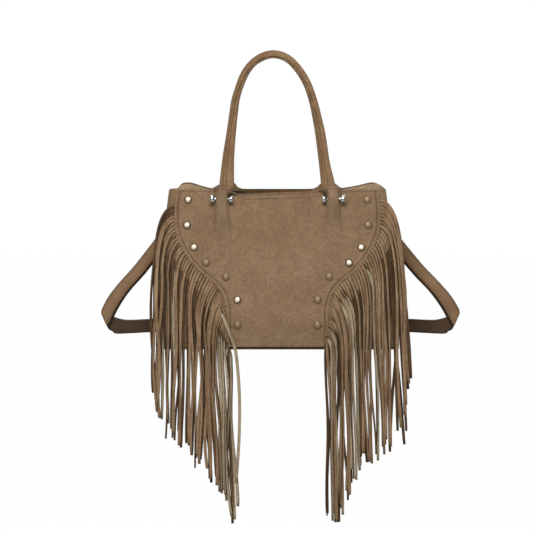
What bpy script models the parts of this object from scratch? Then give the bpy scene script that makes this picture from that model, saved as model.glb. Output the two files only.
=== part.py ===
"""A fringed suede hand bag hung by its two handles. The origin is the hang point under the handles' tops."""

import math

import bmesh
import bpy
import numpy as np

MM = 0.001

# Body, in millimetres. A depth below the mouth is called a drop.
HANG_TO_MOUTH = 207.0
BODY_HEIGHT = 252.0
MOUTH_HALF_WIDTH = 174.0
BASE_WIDENING = 21.0
WIDENING_POWER = 1.6
MOUTH_HALF_DEPTH = 45.0
BASE_HALF_DEPTH = 65.0
PANEL_SLOPE = (BASE_HALF_DEPTH - MOUTH_HALF_DEPTH) / BODY_HEIGHT
CORNER_RADIUS = 18.0
PANEL_THICK = 2.0
BASE_THICK = 3.0
LINING_THICK = 1.0
SEAM_GAP = 0.3
BODY_ROWS = 9
# The curves and places below are drawn for this height, and stretch with the body.
DRAWN_HEIGHT = 252.0
STRETCH = BODY_HEIGHT / DRAWN_HEIGHT

# Front overlay: its side edge as (drop, half width).
OVERLAY_EDGE = [
    (0, 157), (20, 160), (40, 161.2), (60, 160.3), (78, 155.5), (94, 147.5), (108, 138.5), (121, 128),
    (134, 114), (146, 99), (157, 89.5), (170, 82.5), (186, 78.8), (215, 77.4), (251, 78.4),
]
OVERLAY_THICK = 2.0
OVERLAY_LIFT = 2.0
PIPING_RADIUS = 1.6
PIPING_ROWS = [1.5, 12, 26, 40, 54, 68, 80, 90, 100, 110, 120, 129, 138, 146, 154, 163, 173, 185, 200, 225, 250]

# Sleeves that hold the handles, as (drop, centre), (drop, half width) and (drop, bulge).
SLEEVE_CENTRE = [(0, 84.5), (6, 88), (14, 89.5), (22, 89.5), (80, 88)]
SLEEVE_HALF = [(0, 16), (3, 14.8), (6.5, 11.4), (14, 10.8), (22, 10.9), (40, 12), (80, 15)]
SLEEVE_BULGE = [(0, 24), (7, 21), (14, 19), (22, 17.5), (30, 14), (40, 9), (55, 3.5), (80, 0)]
SLEEVE_ROWS = [0, 3, 6.5, 11, 15, 19, 24, 30, 36, 43, 52, 64, 80]
SLEEVE_COLUMNS = [-1.3, -1, -0.95, -0.85, -0.7, -0.35, 0.35, 0.7, 0.85, 0.95, 1, 1.3]
SLEEVE_SQUARENESS = 5
SLEEVE_RISE = 4.5
MIDDLE_SAG = 5.0
LOWER_ROWS = [94, 108, 121, 134, 146, 157, 170, 186, 215, 251]
BACK_ROWS = [130, 170, 210]

# Handles: the centre line as (x, height above the mouth, half width, half depth).
HANDLE_LINE = [
    (-89.5, -23, 5.5, 4), (-89.5, -14, 6, 4), (-88.6, -6, 6.4, 4.2), (-85.4, 2, 8.4, 4.8), (-82.2, 10, 11.6, 6),
    (-80.8, 24, 10.6, 6.4),
    (-78.6, 54, 9.1, 6.8), (-73.5, 97, 7.3, 7), (-67.4, 142, 6.6, 6.6), (-59.5, 168, 6.5, 6.5),
    (-47.4, 191, 6.5, 6.5), (-30, 207, 6.6, 6.6), (-8, 214, 6.8, 6.8), (14, 208.5, 6.6, 6.6),
    (31.5, 193, 6.5, 6.5), (47, 169, 6.5, 6.5), (57.3, 140.6, 6.7, 6.6), (64.4, 110.5, 7.4, 6.8),
    (69.6, 84, 8.1, 6.8), (75, 45, 8.5, 6.8), (79, 24, 9.6, 6.4), (82, 10, 11.6, 6),
    (85.4, 2, 8.4, 4.8), (88.6, -6, 6.4, 4.2), (89.5, -14, 6, 4), (89.5, -23, 5.5, 4),
]
HANDLE_TOP_Y = 8.3
HANDLE_STEPS = 2

# Pins through the sleeves and the feet of the handles.
PIN_DROP = 14.0
PIN_OUT = 10.0
PIN_RADIUS = 2.0
PIN_RUNNING_GAP = 0.09
PIN_HEAD_RADIUS = 6.2
PIN_HEAD_LENGTH = 7.0
PIN_HEAD_FROM = 11.4
PIN_HOLE_REACH = 14.0
HOLE_GAP = 0.4

# Studs: (drop, distance from the middle) down one side of the overlay.
STUD_PLACES = [(15.6, 143.3), (56.2, 145.2), (91.7, 134), (116.6, 114.5), (139, 82.6), (175.8, 64.2), (216.1, 63.9)]
STUD_RADIUS = 6.5
STUD_HEIGHT = 2.2
STUD_POST_RADIUS = 1.5

# Fringe: one comb of thin leather a side, sewn under the overlay's edge.
FRINGE_THICK = 1.1
FRINGE_STRIPS = 46
FRINGE_TOP_DROP = 14.0
FRINGE_END_DROP = 243.0
FRINGE_BAND = 9.0
FRINGE_BAND_OUT = 1.0
FRINGE_EDGE_OUT = 1.6
FRINGE_HANG_OUT = 3.3
STRIP_LAYER = 1.5
STRIP_REACH = 6.5
STRIP_SHARE = 0.68
INNER_STRIP_X = 88.0
INNER_TIP_X = 70.0
OUTER_STRIP_X = 204.0
# Tips of the strips, as (distance from the middle, drop).
FRINGE_TIPS = [
    (70, 536), (80, 510), (90, 484), (105, 462), (122, 441), (148, 421), (176, 395), (196, 350), (204, 318),
]

# Shoulder strap: the centre line of one upper run as (x, drop), from its ring to the fold.
STRAP_WIDTH = 22.0
STRAP_THICK = 2.6
STRAP_RUN = [(176, 68), (200.5, 99.5), (226, 131), (250, 157), (269, 182)]
STRAP_FOLD = (280.5, 209)
STRAP_LOWER = [(270, 216.5), (249, 220.5), (210, 219), (150, 217.5), (60, 217.5)]
FOLD_LEAN = math.radians(24)
FOLD_RADIUS = 3.2
STRAP_SHIFT = 5.0
STRAP_TAIL = 30.0
RING_WIRE = 2.0
RING_BAR = 31.0
RING_X = 158.0
RING_DROP = 44.0
RING_OUT = 7.0
RING_REACH = 17.0
LOOP_RADIUS = 3.5
LOOP_GAP = 0.35
CHAPE_HEIGHT = 24.0
RIVET_RADIUS = 4.5
RIVET_SHANK = 1.5
RIVET_BACK = 14.0

# Magnetic snap inside the mouth.
SNAP_DROP = 26.0
SNAP_RADIUS = 9.0
SNAP_THICK = 2.6

SHARP_ANGLE = math.radians(35)
PIN_SIDES = 16
STUD_SIDES = 12
SUEDE = (0.26, 0.16, 0.09, 1)
STRAP_LEATHER = (0.2, 0.1, 0.05, 1)
LINING_CLOTH = (0.1, 0.07, 0.05, 1)
NICKEL = (0.3, 0.29, 0.27, 1)
CHROME = (0.8, 0.8, 0.82, 1)


def clear_scene():
    for item in list(bpy.data.objects):
        bpy.data.objects.remove(item)


def material(name, colour, metal, rough):
    made = bpy.data.materials.new(name)
    made.use_nodes = True
    shader = made.node_tree.nodes["Principled BSDF"]
    shader.inputs["Base Color"].default_value = colour
    shader.inputs["Metallic"].default_value = metal
    shader.inputs["Roughness"].default_value = rough
    return made


def solid(name, points, faces, look, origin=(0, 0, 0)):
    """A closed mesh from points in millimetres, with its origin where it is asked for."""
    colour, metal, rough = look
    mesh = bpy.data.meshes.new(name)
    shift = np.array(origin, float)
    mesh.from_pydata([tuple((np.array(p) - shift) * MM) for p in points], [], faces)
    work = bmesh.new()
    work.from_mesh(mesh)
    bmesh.ops.recalc_face_normals(work, faces=work.faces)
    work.to_mesh(mesh)
    work.free()
    made = bpy.data.objects.new(name, mesh)
    made.location = shift * MM
    mesh.shade_smooth()
    mesh.set_sharp_from_angle(angle=SHARP_ANGLE)
    mesh.materials.append(material(name, colour, metal, rough))
    bpy.context.scene.collection.objects.link(made)
    return made


SUEDE_LOOK = (SUEDE, 0, 0.9)
STRAP_LOOK = (STRAP_LEATHER, 0, 0.5)
CLOTH_LOOK = (LINING_CLOTH, 0, 0.85)
NICKEL_LOOK = (NICKEL, 1, 0.4)
CHROME_LOOK = (CHROME, 1, 0.1)


def loft(name, rings, look, closed=False, origin=(0, 0, 0)):
    """A solid through rings of points: capped at both ends, or closed on itself."""
    rings = [list(ring) for ring in rings]
    size = len(rings[0])
    points = [p for ring in rings for p in ring]
    faces = []
    last = len(rings) if closed else len(rings) - 1
    for i in range(last):
        here = i * size
        there = (i + 1) % len(rings) * size
        for j in range(size):
            k = (j + 1) % size
            faces.append((here + j, here + k, there + k, there + j))
    if not closed:
        faces.append(tuple(range(size))[::-1])
        faces.append(tuple(len(points) - size + j for j in range(size)))
    return solid(name, points, faces, look, origin)


def shell(name, outer, inner, look):
    """A sheet of leather between two grids of points that match row by row."""
    outer, inner = np.array(outer, float), np.array(inner, float)
    rows, columns = outer.shape[:2]
    points = [tuple(p) for grid in (outer, inner) for row in grid for p in row]
    back = rows * columns
    faces = []
    for r in range(rows - 1):
        for c in range(columns - 1):
            a = r * columns + c
            quad = (a, a + 1, a + columns + 1, a + columns)
            faces += [quad, tuple(back + q for q in quad[::-1])]
    rim = [c for c in range(columns)]
    rim += [r * columns + columns - 1 for r in range(1, rows)]
    rim += [(rows - 1) * columns + c for c in range(columns - 2, -1, -1)]
    rim += [r * columns for r in range(rows - 2, 0, -1)]
    for a, b in zip(rim, rim[1:] + rim[:1]):
        faces.append((a, back + a, back + b, b))
    return solid(name, points, faces, look)


def lathe(name, centre, axis, profile, look, sides=STUD_SIDES):
    """A turned piece: the profile is (distance along the axis, radius), and ends on the axis."""
    axis = np.array(axis, float) / np.linalg.norm(axis)
    across = np.cross(axis, (0, 0, 1))
    if np.linalg.norm(across) < 0.1:
        across = np.array((1.0, 0, 0))
    across /= np.linalg.norm(across)
    third = np.cross(axis, across)
    rings = []
    for along, radius in profile:
        ring = []
        for i in range(sides):
            turn = math.tau * i / sides
            spoke = across * math.cos(turn) + third * math.sin(turn)
            ring.append(np.array(centre) + axis * along + spoke * radius)
        rings.append(ring)
    return loft(name, rings, look, origin=centre)


def cut(target, cutters):
    """Holes for pins and posts, by one exact Boolean for each cutter."""
    for cutter in cutters:
        cutter.hide_render = True
        cutter.display_type = "WIRE"
        hole = target.modifiers.new(cutter.name, "BOOLEAN")
        hole.operation = "DIFFERENCE"
        hole.solver = "EXACT"
        hole.object = cutter


def along(table, at):
    return float(np.interp(at, [row[0] for row in table], [row[1] for row in table]))


def half_width(drop):
    share = min(max(drop / BODY_HEIGHT, 0), 1)
    return MOUTH_HALF_WIDTH + BASE_WIDENING * (1 - (1 - share) ** WIDENING_POWER)


def half_depth(drop):
    share = min(max(drop / BODY_HEIGHT, 0), 1)
    return MOUTH_HALF_DEPTH + PANEL_SLOPE * BODY_HEIGHT * share


def height(drop):
    return -HANG_TO_MOUTH - drop


def flat_half(drop):
    """Half the width of the flat part of a panel, up to its seam with the gusset."""
    return half_width(drop) - CORNER_RADIUS - SEAM_GAP / 2


def corner(x, y, radius, start, steps=5):
    """A quarter of a circle as points, anticlockwise from the start angle."""
    turns = [start + math.pi / 2 * i / steps for i in range(steps + 1)]
    return [(x + radius * math.cos(t), y + radius * math.sin(t)) for t in turns]


def rounded_section(drop, inset, z=None):
    """The outline of the body at one drop, inset from its outer face."""
    wide = half_width(drop) - CORNER_RADIUS
    deep = half_depth(drop) - CORNER_RADIUS
    radius = CORNER_RADIUS - inset
    outline = corner(wide, deep, radius, 0) + corner(-wide, deep, radius, math.pi / 2)
    outline += corner(-wide, -deep, radius, math.pi) + corner(wide, -deep, radius, 1.5 * math.pi)
    z = height(drop) if z is None else z
    return [(x, y, z) for x, y in outline]


def body_drops():
    return [BODY_HEIGHT * i / (BODY_ROWS - 1) for i in range(BODY_ROWS)]


def front_panel():
    grids = []
    for inset in (0, PANEL_THICK):
        rows = []
        for drop in body_drops():
            y = inset - half_depth(drop)
            rows.append([(s * flat_half(drop), y, height(drop)) for s in (-1, 0, 1)])
        grids.append(rows)
    shell("front_panel", *grids, SUEDE_LOOK)


def gusset(name, side, holes):
    grids = []
    for inset in (0, PANEL_THICK):
        rows = []
        for drop in body_drops():
            wide = half_width(drop) - CORNER_RADIUS
            deep = half_depth(drop) - CORNER_RADIUS
            radius = CORNER_RADIUS - inset
            line = corner(wide, -deep, radius, -math.pi / 2) + corner(wide, deep, radius, 0)
            line[0] = (wide + SEAM_GAP / 2, -deep - radius)
            line[-1] = (wide + SEAM_GAP / 2, deep + radius)
            rows.append([(side * x, y, height(drop)) for x, y in line])
        grids.append(rows)
    cut(shell(name, *grids, SUEDE_LOOK), holes)


def base_panel():
    top = height(BODY_HEIGHT) - SEAM_GAP
    rings = [rounded_section(BODY_HEIGHT, 0, top), rounded_section(BODY_HEIGHT, 0, top - BASE_THICK)]
    loft("base_panel", rings, SUEDE_LOOK)


def lining():
    """A cloth bag just inside the panels, open at the mouth."""
    out = PANEL_THICK + 2 * SEAM_GAP
    drops = body_drops()
    drops[0] = 2.0
    floor = drops[-1]
    inside = [rounded_section(drop, out + LINING_THICK) for drop in drops]
    inside[-1] = rounded_section(floor, out + LINING_THICK, height(floor) + LINING_THICK)
    outside = [rounded_section(drop, out) for drop in drops]
    loft("lining", inside[::-1] + outside, CLOTH_LOOK)


def sleeve_shape(offset):
    """How far the sleeve stands out at this offset from its middle, in half widths."""
    return max(0.0, 1 - abs(offset) ** SLEEVE_SQUARENESS)


def sleeved_grid(half_of, drops):
    """x, rise and bulge of a panel with two sleeves, row by row."""
    rows = []
    for drop in drops:
        wide = half_of(drop)
        at = min(drop, SLEEVE_ROWS[-1])
        scale = wide / half_of(at)
        middle = along(SLEEVE_CENTRE, at) * scale
        half = along(SLEEVE_HALF, at) * scale
        bulge = along(SLEEVE_BULGE, at)
        one_side = [(0.3 * middle, 0.0), (0.6 * middle, 0.0)]
        one_side += [(middle + half * u, sleeve_shape(u)) for u in SLEEVE_COLUMNS]
        edge = one_side[-1][0]
        one_side += [((edge + wide) / 2, 0.0), (wide, 0.0)]
        line = [(-x, f) for x, f in one_side[::-1]] + [(0.0, 0.0)] + one_side
        rise = SLEEVE_RISE * max(0, 1 - drop / 20)
        sag = MIDDLE_SAG * max(0, 1 - drop / 40)
        row = []
        for x, f in line:
            dip = sag * max(0, 1 - (x / (middle - 1.2 * half)) ** 2) ** 0.5 if abs(x) < middle else 0
            row.append((x, rise * f - dip, bulge * f))
        rows.append(row)
    return rows


def surface_normals(grid):
    """Unit normals of a grid of points, facing away from the bag's middle."""
    down = np.gradient(grid, axis=0)
    across = np.gradient(grid, axis=1)
    normals = np.cross(across, down)
    normals /= np.linalg.norm(normals, axis=2)[:, :, None]
    return normals


def sleeved_panel(name, side, half_of, out, thick, drops, sags, holes):
    """A panel whose two sleeves stand out over the feet of a handle; side is -1 at the front."""
    grid = []
    for drop, row in zip(drops, sleeved_grid(half_of, drops)):
        line = []
        for x, rise, bulge in row:
            lift = rise if sags or rise > 0 else 0
            line.append((x, side * (half_depth(drop) + out + bulge), height(drop) + lift))
        grid.append(line)
    grid = np.array(grid)
    normals = surface_normals(grid)
    if (normals[0, 0, 1] > 0) != (side > 0):
        normals = -normals
    normals[:, 0] = normals[:, -1] = (0, side, 0)
    cut(shell(name, grid, grid - normals * thick, SUEDE_LOOK), holes)


def overlay_half(drop):
    """The half width of the overlay, by a smooth curve through its edge points."""
    drops = [p[0] * STRETCH for p in OVERLAY_EDGE]
    halves = [p[1] for p in OVERLAY_EDGE]
    slopes = np.gradient(halves, drops)
    i = min(max(np.searchsorted(drops, drop) - 1, 0), len(drops) - 2)
    span = drops[i + 1] - drops[i]
    t = (drop - drops[i]) / span
    start = (2 * t**3 - 3 * t**2 + 1) * halves[i] + (t**3 - 2 * t**2 + t) * span * slopes[i]
    end = (3 * t**2 - 2 * t**3) * halves[i + 1] + (t**3 - t**2) * span * slopes[i + 1]
    return start + end


def front_plane(drop, out):
    return -(half_depth(drop) + out)


def on_front(x, z, out):
    """A point in front of the front panel, as far out of it as asked."""
    return np.array((x, front_plane(-HANG_TO_MOUTH - z, out), z))


def tube(name, path, radius, look, sides=8, closed=False):
    """A round cord along a path of points."""
    path = np.array(path, float)
    if closed:
        steps = np.roll(path, -1, axis=0) - np.roll(path, 1, axis=0)
    else:
        steps = np.gradient(path, axis=0)
    rings = []
    for point, step in zip(path, steps):
        step = step / np.linalg.norm(step)
        first = np.cross(step, (0, 1, 0))
        first /= np.linalg.norm(first)
        second = np.cross(step, first)
        turns = [math.tau * i / sides for i in range(sides)]
        rings.append([point + radius * (first * math.cos(t) + second * math.sin(t)) for t in turns])
    return loft(name, rings, look, closed)


def edge_frame(drop, side):
    """A point on the overlay's edge and the outward direction in its plane."""
    here = np.array((side * overlay_half(drop), height(drop)))
    near = np.array((side * overlay_half(drop + 0.5), height(drop + 0.5)))
    run = (near - here) / np.linalg.norm(near - here)
    return here, np.array((-run[1] * side, run[0] * side))


def piping(name, side):
    path = []
    for row in PIPING_ROWS:
        drop = row * STRETCH
        point, out = edge_frame(drop, side)
        x, z = point + out * (PIPING_RADIUS + 2 * SEAM_GAP)
        path.append((x, front_plane(drop, OVERLAY_LIFT + OVERLAY_THICK), z))
    tube(name, path, PIPING_RADIUS, SUEDE_LOOK)


def seam_drops():
    """The drops of both edges of each strip, at equal pitches of length along the overlay's edge."""
    fine = np.linspace(FRINGE_TOP_DROP, FRINGE_END_DROP * STRETCH, 400)
    x = np.array([overlay_half(d) for d in fine])
    length = np.concatenate([[0], np.cumsum(np.hypot(np.diff(x), np.diff(fine)))])
    pitch = length[-1] / (FRINGE_STRIPS - 1 + STRIP_SHARE)
    starts = pitch * np.arange(FRINGE_STRIPS)
    edges = np.stack([starts, starts + pitch * STRIP_SHARE], axis=1).ravel()
    return np.interp(edges, length, fine)


def strip_line(start, out, share, side):
    """The middle line of one strip: it leaves the seam square to it, arches over and hangs."""
    base_x = side * (INNER_STRIP_X + (OUTER_STRIP_X - INNER_STRIP_X) * (1 - share))
    tip_x = INNER_TIP_X + (OUTER_STRIP_X - INNER_TIP_X) * (1 - share)
    away = abs(base_x - start[0])
    shoulder = start + out * max(STRIP_REACH, away * 0.6)
    fall = max(10.0, away * 0.75) + max(0, start[1] - shoulder[1])
    across = base_x - shoulder[0]
    turn = np.array((shoulder[0] + across * 0.75, start[1] - fall))
    hang = np.array((base_x, min(height(BODY_HEIGHT + 5), turn[1] - 8)))
    tip = np.array((side * tip_x, height(along(FRINGE_TIPS, tip_x) * STRETCH)))
    points = [start * 0.25 + shoulder * 0.75, shoulder + (across * 0.35, -fall * 0.3), turn, hang, tip]
    outs = [FRINGE_EDGE_OUT] + [FRINGE_HANG_OUT] * (len(points) - 1)
    line = [on_front(*start, FRINGE_BAND_OUT)]
    line += [on_front(*point, by) for point, by in zip(points, outs)]
    return line


def fringe(name, side):
    """The comb as one sheet: a band under the overlay, then the strips cut from its edge."""
    drops = seam_drops()
    points, normals, quads = [], [], []
    for drop in drops:
        point, out = edge_frame(drop, side)
        for x, z in (point - out * FRINGE_BAND, point):
            points.append(on_front(x, z, FRINGE_BAND_OUT))
        normals += [np.array((0, 1, 0))] * 2
    for i in range(len(drops) - 1):
        quads.append((2 * i, 2 * i + 2, 2 * i + 3, 2 * i + 1))
    lines = []
    for strip in range(FRINGE_STRIPS):
        start, out = edge_frame((drops[2 * strip] + drops[2 * strip + 1]) / 2, side)
        lines.append(np.array(strip_line(start, out, strip / (FRINGE_STRIPS - 1), side)))
    for strip in range(FRINGE_STRIPS):
        add_strip(points, normals, quads, lines, strip, side)
    thicken(name, points, normals, quads)


def nearest(point, line):
    """The distance from a point to a line of points that runs on past its end, seen from the front."""
    best = math.inf
    for i in range(len(line) - 1):
        a, b, p = line[i][[0, 2]], line[i + 1][[0, 2]], point[[0, 2]]
        most = 1 if i < len(line) - 2 else math.inf
        share = np.clip(np.dot(p - a, b - a) / np.dot(b - a, b - a), 0, most)
        best = min(best, np.linalg.norm(p - a - share * (b - a)))
    return best


def add_strip(points, normals, quads, lines, strip, side):
    """One strip, from the band's edge to its tip, turned like a louvre where its neighbours are near."""
    above, below = 2 * strip, 2 * strip + 1
    half = np.linalg.norm(points[2 * below + 1] - points[2 * above + 1]) / 2
    line = lines[strip]
    steps = np.gradient(line, axis=0)
    beside = [lines[i] for i in (strip - 1, strip + 1) if 0 <= i < len(lines)]
    last = (2 * above + 1, 2 * below + 1)
    for point, step in zip(line[1:], steps[1:]):
        pitch = min(nearest(point, other) for other in beside)
        turn = math.asin(min(1, STRIP_LAYER / pitch))
        across = np.array((step[2], 0, -step[0])) * side
        across /= np.linalg.norm(across)
        wide = across * math.cos(turn) + np.array((0, math.sin(turn), 0))
        here = len(points)
        points += [point - wide * half, point + wide * half]
        normals += [np.array((0, math.cos(turn), 0)) - across * math.sin(turn)] * 2
        quads.append((last[0], last[1], here + 1, here))
        last = (here, here + 1)


def thicken(name, points, normals, quads):
    """A closed sheet from a net of quads, thick along the normals."""
    count = len(points)
    front = [p - n * FRINGE_THICK / 2 for p, n in zip(points, normals)]
    back = [p + n * FRINGE_THICK / 2 for p, n in zip(points, normals)]
    faces = list(quads) + [tuple(count + q for q in quad[::-1]) for quad in quads]
    edges = {(a, b) for quad in quads for a, b in zip(quad, quad[1:] + quad[:1])}
    for a, b in sorted(edges):
        if (b, a) not in edges:
            faces.append((b, a, count + a, count + b))
    solid(name, front + back, faces, SUEDE_LOOK)


def studs():
    """Flat rivet studs along both edges of the overlay; returns the cutters for their posts."""
    cutters = []
    lean = math.atan(PANEL_SLOPE)
    axis = (0, -math.cos(lean), math.sin(lean))
    out = OVERLAY_LIFT + OVERLAY_THICK + SEAM_GAP
    for i, (row, x) in enumerate(STUD_PLACES):
        drop = row * STRETCH
        for word, side in (("left", -1), ("right", 1)):
            centre = (side * x, front_plane(drop, out), height(drop))
            post = OVERLAY_THICK + 1.2
            edge = STUD_RADIUS - 1.1
            profile = [(-post, 0.4), (-post, STUD_POST_RADIUS), (0, STUD_POST_RADIUS), (0, STUD_RADIUS)]
            profile += [(STUD_HEIGHT * 0.45, STUD_RADIUS), (STUD_HEIGHT * 0.9, edge), (STUD_HEIGHT, edge * 0.7)]
            profile += [(STUD_HEIGHT, 0.4)]
            lathe(f"stud_{word}_{i + 1}", centre, axis, profile, NICKEL_LOOK)
            radius = STUD_POST_RADIUS + HOLE_GAP
            hole = [(-6, radius), (3, radius)]
            cutters.append(lathe(f"hole_stud_{word}_{i + 1}", centre, axis, hole, NICKEL_LOOK))
    return cutters


def pin_centre(side_x, side_y, out):
    x = side_x * along(SLEEVE_CENTRE, PIN_DROP)
    return (x, side_y * (half_depth(PIN_DROP) + out + PIN_OUT), height(PIN_DROP))


def pins(word, side_y, out):
    """Two pins with their end nuts; returns the cutters of the sleeves and those of the handle."""
    sleeve_cutters, handle_cutters = [], []
    end = PIN_HEAD_FROM + PIN_HEAD_LENGTH
    for place, side in (("left", -1), ("right", 1)):
        centre = pin_centre(side, side_y, out)
        axis = (side, 0, 0)
        rod = PIN_RADIUS
        head = [(-end + 2, 0.4), (-end + 2, rod), (PIN_HEAD_FROM, rod), (PIN_HEAD_FROM, PIN_HEAD_RADIUS - 0.5)]
        head += [(PIN_HEAD_FROM + 0.5, PIN_HEAD_RADIUS), (end - 0.8, PIN_HEAD_RADIUS), (end, PIN_HEAD_RADIUS - 0.8)]
        head += [(end, 0.4)]
        lathe(f"pin_{word}_{place}", centre, axis, head, CHROME_LOOK, PIN_SIDES)
        bore = rod + SEAM_GAP
        deep = -end + 2 - SEAM_GAP
        nut = [(deep, 0.4), (deep, bore), (-PIN_HEAD_FROM, bore), (-PIN_HEAD_FROM, PIN_HEAD_RADIUS - 0.5)]
        nut += [(-PIN_HEAD_FROM - 0.5, PIN_HEAD_RADIUS), (-end + 0.8, PIN_HEAD_RADIUS), (-end, PIN_HEAD_RADIUS - 0.8)]
        nut += [(-end, 0.4)]
        lathe(f"nut_{word}_{place}", centre, axis, nut, CHROME_LOOK, PIN_SIDES)
        wide = [(at, rod + HOLE_GAP) for at in (-PIN_HOLE_REACH, PIN_HOLE_REACH)]
        sleeve_cutters.append(lathe(f"hole_sleeve_{word}_{place}", centre, axis, wide, CHROME_LOOK, PIN_SIDES))
        running = [(at, rod + PIN_RUNNING_GAP) for at in (-PIN_HOLE_REACH, PIN_HOLE_REACH)]
        handle_cutters.append(lathe(f"hole_handle_{word}_{place}", centre, axis, running, CHROME_LOOK, PIN_SIDES))
    return sleeve_cutters, handle_cutters


def smooth_rows(rows, steps):
    """Rows of numbers with more put between them by a smooth curve."""
    rows = np.array(rows, float)
    padded = np.vstack([2 * rows[0] - rows[1], rows, 2 * rows[-1] - rows[-2]])
    made = []
    for i in range(len(rows) - 1):
        a, b, c, d = padded[i : i + 4]
        for step in range(steps):
            t = step / steps
            made.append(b + 0.5 * t * (c - a + t * (2 * a - 5 * b + 4 * c - d + t * (3 * (b - c) + d - a))))
    made.append(rows[-1])
    return np.array(made)


def handle(word, side_y, out, holes):
    """A rolled handle that leans in from its pins until the tops of the two almost meet."""
    foot = pin_centre(1, side_y, out)
    top = max(row[1] for row in HANDLE_LINE)
    lean = (abs(foot[1]) - HANDLE_TOP_Y) / (top + PIN_DROP)
    rings = []
    rows = smooth_rows(HANDLE_LINE, HANDLE_STEPS)
    steps = np.gradient(rows[:, :2], axis=0)
    for (x, up, wide, deep), step in zip(rows, steps):
        step = step / np.linalg.norm(step)
        rise = max(0, up + PIN_DROP)
        centre = np.array((x, side_y * (abs(foot[1]) - lean * rise), up - HANG_TO_MOUTH))
        across = np.array((step[1], 0, -step[0]))
        ring = []
        for i in range(12):
            turn = math.tau * (i + 0.5) / 12
            ring.append(centre + across * wide * math.cos(turn) + np.array((0, 1, 0)) * deep * math.sin(turn))
        rings.append(ring)
    made = loft(f"handle_{word}", rings, SUEDE_LOOK, origin=(0, foot[1], foot[2]))
    cut(made, holes)


def hinge(name, centre, pieces):
    """An empty on a joint's axis that carries the pieces that swing on it."""
    pivot = bpy.data.objects.new(name, None)
    pivot.location = np.array(centre) * MM
    bpy.context.scene.collection.objects.link(pivot)
    bpy.context.view_layer.update()
    for piece in pieces:
        piece.parent = pivot
        piece.matrix_parent_inverse = pivot.matrix_world.inverted()


def band(name, stations, look, origin=(0, 0, 0), holes=()):
    """A flat band through stations of (centre, edge direction, normal, width, thickness)."""
    rings = []
    for centre, edge, normal, wide, thick in stations:
        e = np.array(edge) * wide / 2
        n = np.array(normal) * thick / 2
        centre = np.array(centre)
        rings.append([centre - e - n, centre + e - n, centre + e + n, centre - e + n])
    made = loft(name, rings, look, origin=origin)
    cut(made, holes)
    return made


def back_y(drop, out):
    return half_depth(drop) + out


def ring_y(drop=RING_DROP):
    """The plane of the rings and the strap's ends, which follows the slope of the back panel."""
    return back_y(drop, RING_OUT)


def strap_direction():
    """The direction of the upper run where it leaves its ring, in x and drop."""
    run = np.array(STRAP_RUN[1], float) - np.array(STRAP_RUN[0], float)
    return run / np.linalg.norm(run)


def strap_ring(name, side):
    """A wire ring: its top bar lies along x in the chape, its lower bar takes the strap."""
    down = strap_direction()
    across = np.array((-down[1], down[0]))
    low = np.array((RING_X, RING_DROP)) + down * RING_REACH
    half = RING_BAR / 2
    low_inner = low + across * half
    low_outer = low - across * half
    corners = [(RING_X - half, RING_DROP), (RING_X + half, RING_DROP), tuple(low_outer), tuple(low_inner)]
    path = rounded_loop(corners, 3.5)
    points = [(side * x, ring_y(drop), height(drop)) for x, drop in path]
    return tube(name, points, RING_WIRE, NICKEL_LOOK, 10, closed=True)


def rounded_loop(corners, radius):
    """A closed line through corners, each rounded by three points."""
    path = []
    count = len(corners)
    for i in range(count):
        before, here, after = (np.array(corners[(i + k) % count], float) for k in (-1, 0, 1))
        back = (before - here) / np.linalg.norm(before - here)
        on = (after - here) / np.linalg.norm(after - here)
        path += [here + back * radius, here + (back + on) * radius * 0.25, here + on * radius]
    return path


def chape(name, side):
    """A folded leather loop on the back panel, round the top bar of the ring."""
    thick = 2 * (LOOP_RADIUS - RING_WIRE - LOOP_GAP)
    near = SEAM_GAP + thick / 2
    top = RING_DROP - CHAPE_HEIGHT
    y = ring_y()
    stations = [((side * RING_X, back_y(top, near), height(top)), (side, 0, 0), (0, -1, 0))]
    for i in range(9):
        turn = math.pi * i / 8
        normal = (0, -math.cos(turn), -math.sin(turn))
        centre = (side * RING_X, y + LOOP_RADIUS * normal[1], height(RING_DROP) + LOOP_RADIUS * normal[2])
        stations.append((centre, (side, 0, 0), normal))
    stations.append(((side * RING_X, back_y(top, near) + 2 * LOOP_RADIUS, height(top)), (side, 0, 0), (0, 1, 0)))
    wide = STRAP_WIDTH - 4
    band(name, [(*station, wide, thick) for station in stations], SUEDE_LOOK)


def strap_side(side):
    """Stations of one upper run: its tail, the loop round the ring, the run and the fold."""
    down = strap_direction()
    across = np.array((-down[1], down[0]))
    low = np.array((RING_X, RING_DROP)) + down * RING_REACH

    def place(flat, y_here, edge, normal):
        x, drop = flat
        centre = (side * x, y_here, height(drop))
        edge = (side * edge[0], PANEL_SLOPE * edge[1], -edge[1])
        normal = (side * normal[0], normal[1], -normal[2])
        return centre, edge, normal

    tail = low + down * STRAP_TAIL
    stations = [place(tail, ring_y(tail[1]) + LOOP_RADIUS, across, (0, 1, 0))]
    for i in range(9):
        turn = math.pi * i / 8
        flat = low - down * LOOP_RADIUS * math.sin(turn)
        normal = (-down[0] * math.sin(turn), math.cos(turn), -down[1] * math.sin(turn))
        stations.append(place(flat, ring_y(flat[1]) + LOOP_RADIUS * math.cos(turn), across, normal))
    fold_edge = np.array((-math.sin(FOLD_LEAN), math.cos(FOLD_LEAN)))
    fold_out = np.array((math.cos(FOLD_LEAN), math.sin(FOLD_LEAN)))
    for i, flat in enumerate(STRAP_RUN):
        edge = across if i < 3 else across * (1 - 0.25 * (i - 2)) - fold_edge * 0.25 * (i - 2) * -1
        edge = edge / np.linalg.norm(edge)
        shifted = (flat[0] + side * STRAP_SHIFT * (i + 1) / 6, flat[1])
        stations.append(place(shifted, back_y(flat[1], RING_OUT - LOOP_RADIUS), edge, (0, -1, 0)))
    return stations, place, fold_edge, fold_out


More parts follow.
